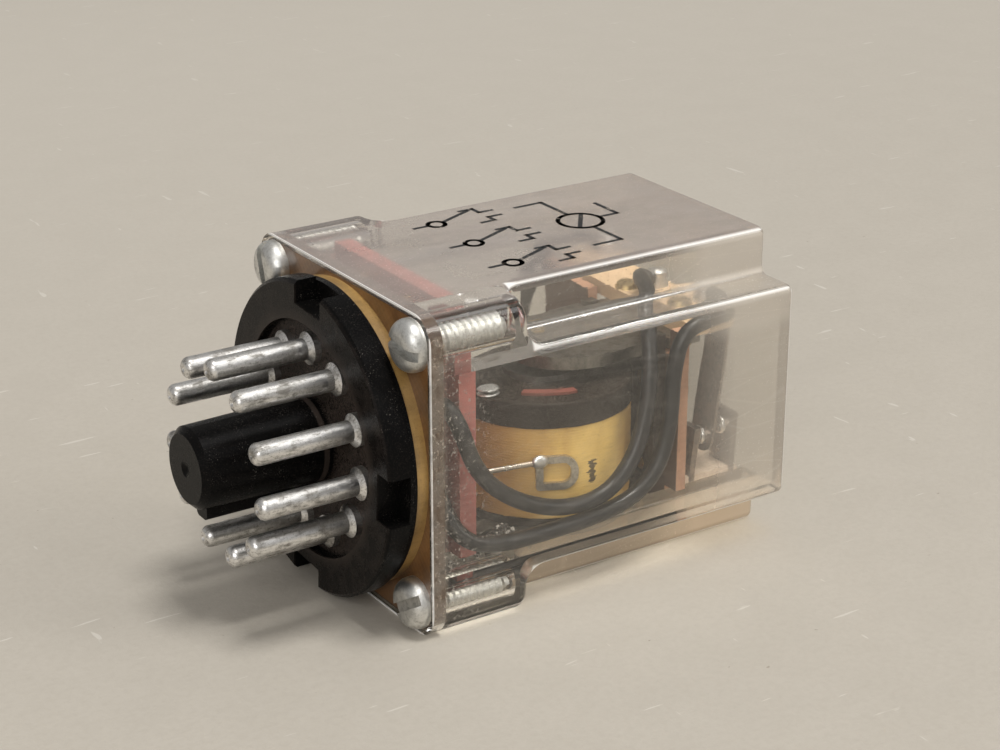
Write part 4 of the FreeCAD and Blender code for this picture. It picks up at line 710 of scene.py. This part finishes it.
lead_routes = {
    8: [(GAP_MIDDLE, -13.3, 7.2), (9.3, -15.3, 4.6), (10.6, -15.35, 0.4), (13.2, -15.35, -3.0),
        (17.4, -15.35, -5.9), (22.6, -15.35, -7.7), (27.6, -15.3, -7.4), (31.2, -15.1, -4.4),
        (33.3, -14.6, 0.4), (34.4, -13.7, 5.6), (35.6, -11.4, 9.9), (38.6, -7.4, 11.6),
        (41.4, -1.6, 11.2), (LUG_X - LUG_REACH, 0, LEAD_TOP)],
    9: [(GAP_MIDDLE, -13.5, -6.2), (10.2, -15.35, -8.6), (14.6, -15.35, -9.65),
        (20.4, -15.35, -9.7), (26.4, -15.35, -9.55), (31.8, -15.3, -8.45), (35.1, -15.1, -5.45),
        (36.5, -14.8, -0.4), (36.8, -14.5, 4.6), (38.2, -14.3, 8.9),
        (42.4, -14.4, LEAD_TOP + 0.4), (LUG_X, -13.6, LEAD_TOP),
        (LUG_X, -POLE_PITCH - LUG_REACH, LEAD_TOP)],
    3: [(GAP_MIDDLE, 15.2, -4.6), (10.4, 15.35, -8.2), (15.2, 15.3, -9.8), (21.4, 15.3, -9.9),
        (27.8, 15.3, -8.9), (33.0, 15.1, -5.6), (36.0, 14.9, -0.6), (37.4, 14.8, 4.8),
        (39.4, 14.4, 8.4), (42.6, 14.4, LEAD_TOP + 0.4), (LUG_X, 13.6, LEAD_TOP),
        (LUG_X, POLE_PITCH + LUG_REACH, LEAD_TOP)],
}
for i, (number, rest) in enumerate(lead_routes.items(), start=1):
    side, height = pin_spot(number)
    points = [(STEM_END, side, height), (GAP_MIDDLE, side, height)] + rest
    lead = piece(f"soft_lead_{i}", soft_tube(f"soft_lead_{i}", points, LEAD_RADIUS), sleeving,
                 body=None, smooth=60, stands_for=[f"flexible_lead_{i}"])
    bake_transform(lead)

# %% [markdown]
# The return spring is a close coil of fine wire. The solid has few turns, so that it stays
# light for the physics; here it gets its real pitch and a bend at each end.

# %% Return spring
SPRING_X, SPRING_Y = 42.1, -4.6
SPRING_RADIUS = 1.1
SPRING_WIRE = 0.2
SPRING_LOW, SPRING_HIGH = -4.4, 3.6
SPRING_TURNS = 17
POINTS_PER_TURN = 10
FOOT = SPRING_LOW - 1.7
HOOK = CARRIER_TOP + SPRING_WIRE + 0.15

spring_route = [(38.95, SPRING_Y, FOOT), (SPRING_X - 0.5, SPRING_Y, FOOT),
                (SPRING_X, SPRING_Y, FOOT + 0.5), (SPRING_X, SPRING_Y, SPRING_LOW - 0.3)]
for i in range(SPRING_TURNS * POINTS_PER_TURN + 1):
    share = i / (SPRING_TURNS * POINTS_PER_TURN)
    spring_route.append((
        *around((SPRING_X, SPRING_Y), SPRING_RADIUS, math.tau * i / POINTS_PER_TURN),
        SPRING_LOW + (SPRING_HIGH - SPRING_LOW) * share))
spring_route += [(SPRING_X, SPRING_Y, SPRING_HIGH + 0.3), (SPRING_X, SPRING_Y, HOOK - 0.5),
                 (SPRING_X + 0.1, SPRING_Y, HOOK), (SPRING_X + 1.0, SPRING_Y, HOOK)]
spring_mesh = soft_tube("coiled_spring", spring_route, SPRING_WIRE, resolution=3, sides=2)
spring = piece("coiled_spring", spring_mesh, steel, body=None, smooth=70,
               stands_for=["return_spring"])
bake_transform(spring)

# %% [markdown]
# The tape ends on the near side of the coil. Its last turn is a thin skin with a visible cut
# edge, so a second skin is laid over part of the winding and lifted by a hair at its end.

# %% End of the tape
COIL_AT = (27.1, -3.4)
TAPE_RADIUS = 10.04
TAPE_THICKNESS = 0.05
TAPE_LOW, TAPE_HIGH = -9.95, 0.35
TAPE_STEPS = 60

tape_rows = []
for i in range(TAPE_STEPS + 1):
    share = i / TAPE_STEPS
    angle = math.radians(-195 + 150 * share)
    lift = TAPE_RADIUS + 0.05 * max(0, share - 0.9) * 10
    uneven = 0.075 * math.sin(share * 9) * (share > 0.9)
    tape_rows.append([(*around(COIL_AT, radius, angle), height) for radius, height in (
        (lift - TAPE_THICKNESS, TAPE_LOW), (lift, TAPE_LOW + uneven), (lift, TAPE_HIGH),
        (lift - TAPE_THICKNESS, TAPE_HIGH))])
piece("tape_end", mesh_of("tape_end", [skin(tape_rows, flip=True)]), tape,
      smooth=50)

# %% [markdown]
# A narrow strip of red paper lies on the bobbin's upper flange and shows as a red sliver
# beside the pole. Small lumps of solder hold the bare wires on their tags and pins. A lump is
# a ball that is pushed out of round in a few random directions and flattened.

# %% Paper ring and solder
FLANGE_TOP = 3.4
PAPER_STEPS = 40
PAPER_INNER, PAPER_OUTER = 7.0, 8.0
PAPER_LOW, PAPER_HIGH = 0.02, 0.35

paper_rows = []
for i in range(PAPER_STEPS + 1):
    angle = math.radians(221 + 44 * i / PAPER_STEPS)
    wave = 0.12 * math.sin(angle * 7)
    paper_rows.append([(*around(COIL_AT, radius + wave, angle), FLANGE_TOP + height)
                       for radius, height in (
                           (PAPER_INNER, PAPER_LOW), (PAPER_INNER, PAPER_HIGH),
                           (PAPER_OUTER, PAPER_HIGH), (PAPER_OUTER, PAPER_LOW))])
piece("paper_ring", mesh_of("paper_ring", [skin(paper_rows)]), fibre)


def unit_ball(subdivisions):
    """The shape of a ball with a radius of 1."""
    ball = bmesh.new()
    bmesh.ops.create_icosphere(ball, subdivisions=subdivisions, radius=1)
    ball.verts.index_update()
    points = [vertex.co.copy() for vertex in ball.verts]
    faces = [[vertex.index for vertex in face.verts] for face in ball.faces]
    ball.free()
    return points, faces


def lump(at, size, seed):
    """A ball of about twice this size across, pushed out of round."""
    grain = random.Random(seed)
    pushes = [(Vector([grain.uniform(-1, 1) for _ in range(3)]).normalized(),
               grain.uniform(-0.18, 0.22)) for _ in range(5)]
    round_points, faces = unit_ball(3)
    points = []
    for spot in round_points:
        out = 1 + sum(push * max(0, spot.dot(way)) ** 2 for way, push in pushes)
        points.append([at[k] + spot[k] * out * size[k] for k in range(3)])
    return points, faces


TAG_TURN = math.radians(24)
TAG_REACH, TAG_ALONG, TAG_HEIGHT = 10.75, 1.9, -2.95
lumps = []
for side in (-1, 1):
    at = (COIL_AT[0] - TAG_REACH * math.sin(TAG_TURN) - TAG_ALONG * math.cos(TAG_TURN),
          COIL_AT[1] + side * (TAG_REACH * math.cos(TAG_TURN) - TAG_ALONG * math.sin(TAG_TURN)),
          TAG_HEIGHT)
    lumps.append(lump(at, (1.1, 0.6, 0.75), 3 + side))
for number in range(1, PIN_COUNT + 1):
    lumps.append(lump((STEM_END - 0.1, *pin_spot(number)), (0.55, 1.15, 1.15), number + 20))
for pole in (-1, 0, 1):
    lumps.append(lump((LUG_X, pole * POLE_PITCH, 10.05), (1.2, 1.2, 0.55), pole + 40))
for height in (0.2, 0.75):
    lumps.append(lump((18.3, -6.6, FLANGE_TOP + height), (1.2, 1.0, 0.2), 60))
piece("solder_lumps", mesh_of("solder_lumps", lumps), solder, smooth=60)

# %% [markdown]
# The wiring diagram is printed on top in black ink that has partly rubbed off. It is drawn
# here in a layout of its own: a round coil sign and three changeover contacts. Each stroke is
# a flat strip just above the plastic, and the ink's alpha has worn gaps.

# %% Ink
INK_HEIGHT = HALF_SIDE + 0.03
STROKE_WIDTH = 0.5
RING_STEPS = 40
COIL_SIGN = (35.2, 0.2)
CONTACT_SIGNS = [(21.2, -7.4), (21.2, 0.2), (21.2, 7.8)]

ink = Finish("printed_ink", (0.012, 0.012, 0.013), roughness=0.5)
ink.feed(alpha=ink.noise((1.3, 1.3, 1.3), 5.0, 0.75, 2.0).rise(0.36, 0.43))


def stroke(*corners):
    """Strips along a line through points on the top face, with squared ends."""
    strips = []
    for start, end in zip(corners, corners[1:]):
        a, b = Vector(start), Vector(end)
        along = (b - a).normalized() * STROKE_WIDTH / 2
        side = Vector((-along.y, along.x))
        spots = (a - along + side, a - along - side, b + along - side, b + along + side)
        strips.append(([(spot.x, spot.y, INK_HEIGHT) for spot in spots], [(0, 1, 2, 3)]))
    return strips


def ring(at, radius):
    return stroke(*(around(at, radius, math.tau * i / RING_STEPS)
                    for i in range(RING_STEPS + 1)))


def changeover(at):
    """One common, one lever and two fixed contacts."""
    x_at, y_at = at
    strips = ring(at, 0.95) + stroke((x_at + 1.0, y_at + 0.3), (x_at + 5.4, y_at + 2.2))
    for shift in (-2.2, 2.5):
        strips += stroke((x_at + 4.6, y_at + shift), (x_at + 6.2, y_at + shift),
                         (x_at + 6.2, y_at + shift * 0.4), (x_at + 7.8, y_at + shift * 0.4))
    return strips + stroke((x_at - 1.1, y_at), (x_at - 2.8, y_at))


diagram = [strip for at in CONTACT_SIGNS for strip in changeover(at)]
diagram += ring(COIL_SIGN, 2.5)
diagram += stroke((35.2, 3.0), (35.2, 8.0), (31.8, 8.0))
diagram += stroke((35.2, -2.6), (35.2, -7.4), (31.8, -7.4))
diagram += stroke((33.8, -1.7), (36.6, 2.1))
diagram += stroke((38.0, 0.2), (40.2, 0.2), (40.2, 4.4))
piece("printed_diagram", mesh_of("printed_diagram", diagram), ink)

# %% [markdown]
# Old relays hold crumbs of wax, wire cover and dust that fell to the bottom of the case. They
# are small uneven lumps on the ledge above the lower step, heaped up near the boss.

# %% Crumbs
LEDGE = -11.15
CRUMB_COUNT = 330
HEAP_X, HEAP_SPREAD, HEAP_HEIGHT = 16.0, 1.9, 1.9

crumb_finish = Finish("crumbs", (0.36, 0.33, 0.30), roughness=0.8)
tone = crumb_finish.noise((1.3, 1.3, 1.3), 3.0).rise(0.5, 0.58)
crumb_finish.feed(base_color=crumb_finish.blend(tone, (0.03, 0.026, 0.022),
                                                (0.42, 0.395, 0.36)))
scatter = random.Random(11)
crumbs = []
for _ in range(CRUMB_COUNT):
    size = scatter.uniform(0.10, 0.48) * scatter.uniform(0.4, 1)
    at = [scatter.gauss(15.8, 2.1), scatter.uniform(-14.2, -11.9), LEDGE + size * 0.5]
    at[2] += scatter.random() * HEAP_HEIGHT * math.exp(-((at[0] - HEAP_X) / HEAP_SPREAD) ** 2)
    round_points, faces = unit_ball(1)
    points = []
    for spot in round_points:
        push = scatter.uniform(0.6, 1.3)
        points.append([at[k] + spot[k] * push * size for k in range(3)])
    crumbs.append((points, faces))
piece("crumbs", mesh_of("crumbs", crumbs), crumb_finish, smooth=10)

# %% [markdown]
# The table is a pale, slightly rough board with fibres pressed into it. It is wide enough for
# every view, and its colour alone makes the background pale. Towards the back its colour is
# painted paler, as painted light.

# %% Table
FLOOR = -HALF_SIDE
ground = Finish("pale_board", (0.51, 0.465, 0.40), roughness=0.75)
mottle = ground.noise((0.12, 0.12, 0.12), 4.0, 0.65)
grain = ground.noise((1.1, 1.1, 1.1), 5.0, 0.7, 3.0)
hairs = ground.noise((0.10, 0.85, 0.5), 2.0, 0.5, 2.0).rise(0.715, 0.74)
crossed = ground.noise((0.6, 0.13, 0.5), 2.0, 0.5, 9.0).rise(0.725, 0.75)
flecks = ground.noise((0.9, 0.9, 0.9), 2.0, 0.5, 7.0).rise(0.76, 0.80)
# Painted light: the board is painted paler towards the back.
far = ground.axis("Y").rise(10.0, 260.0)
pale = ground.blend(mottle.rise(0.3, 0.7), (0.495, 0.456, 0.393), (0.512, 0.472, 0.408))
pale = ground.blend(grain.rise(0.35, 0.75) * 0.35, pale, (0.43, 0.39, 0.33))
pale = ground.blend(hairs.larger(crossed) * 0.5, pale, (0.70, 0.665, 0.60))
pale = ground.blend(flecks * 0.6, pale, (0.28, 0.235, 0.18))
pale = ground.blend(far * 0.5, pale, (0.60, 0.56, 0.49))
ground.feed(base_color=pale)
ground.relief(grain, 0.06)
bpy.ops.mesh.primitive_plane_add(size=3.0, location=(0, 0, FLOOR / 1000))
table = bpy.context.object
table.name = "table"
table.data.materials.append(ground.material)
print("table at", FLOOR, "mm")

# %% [markdown]
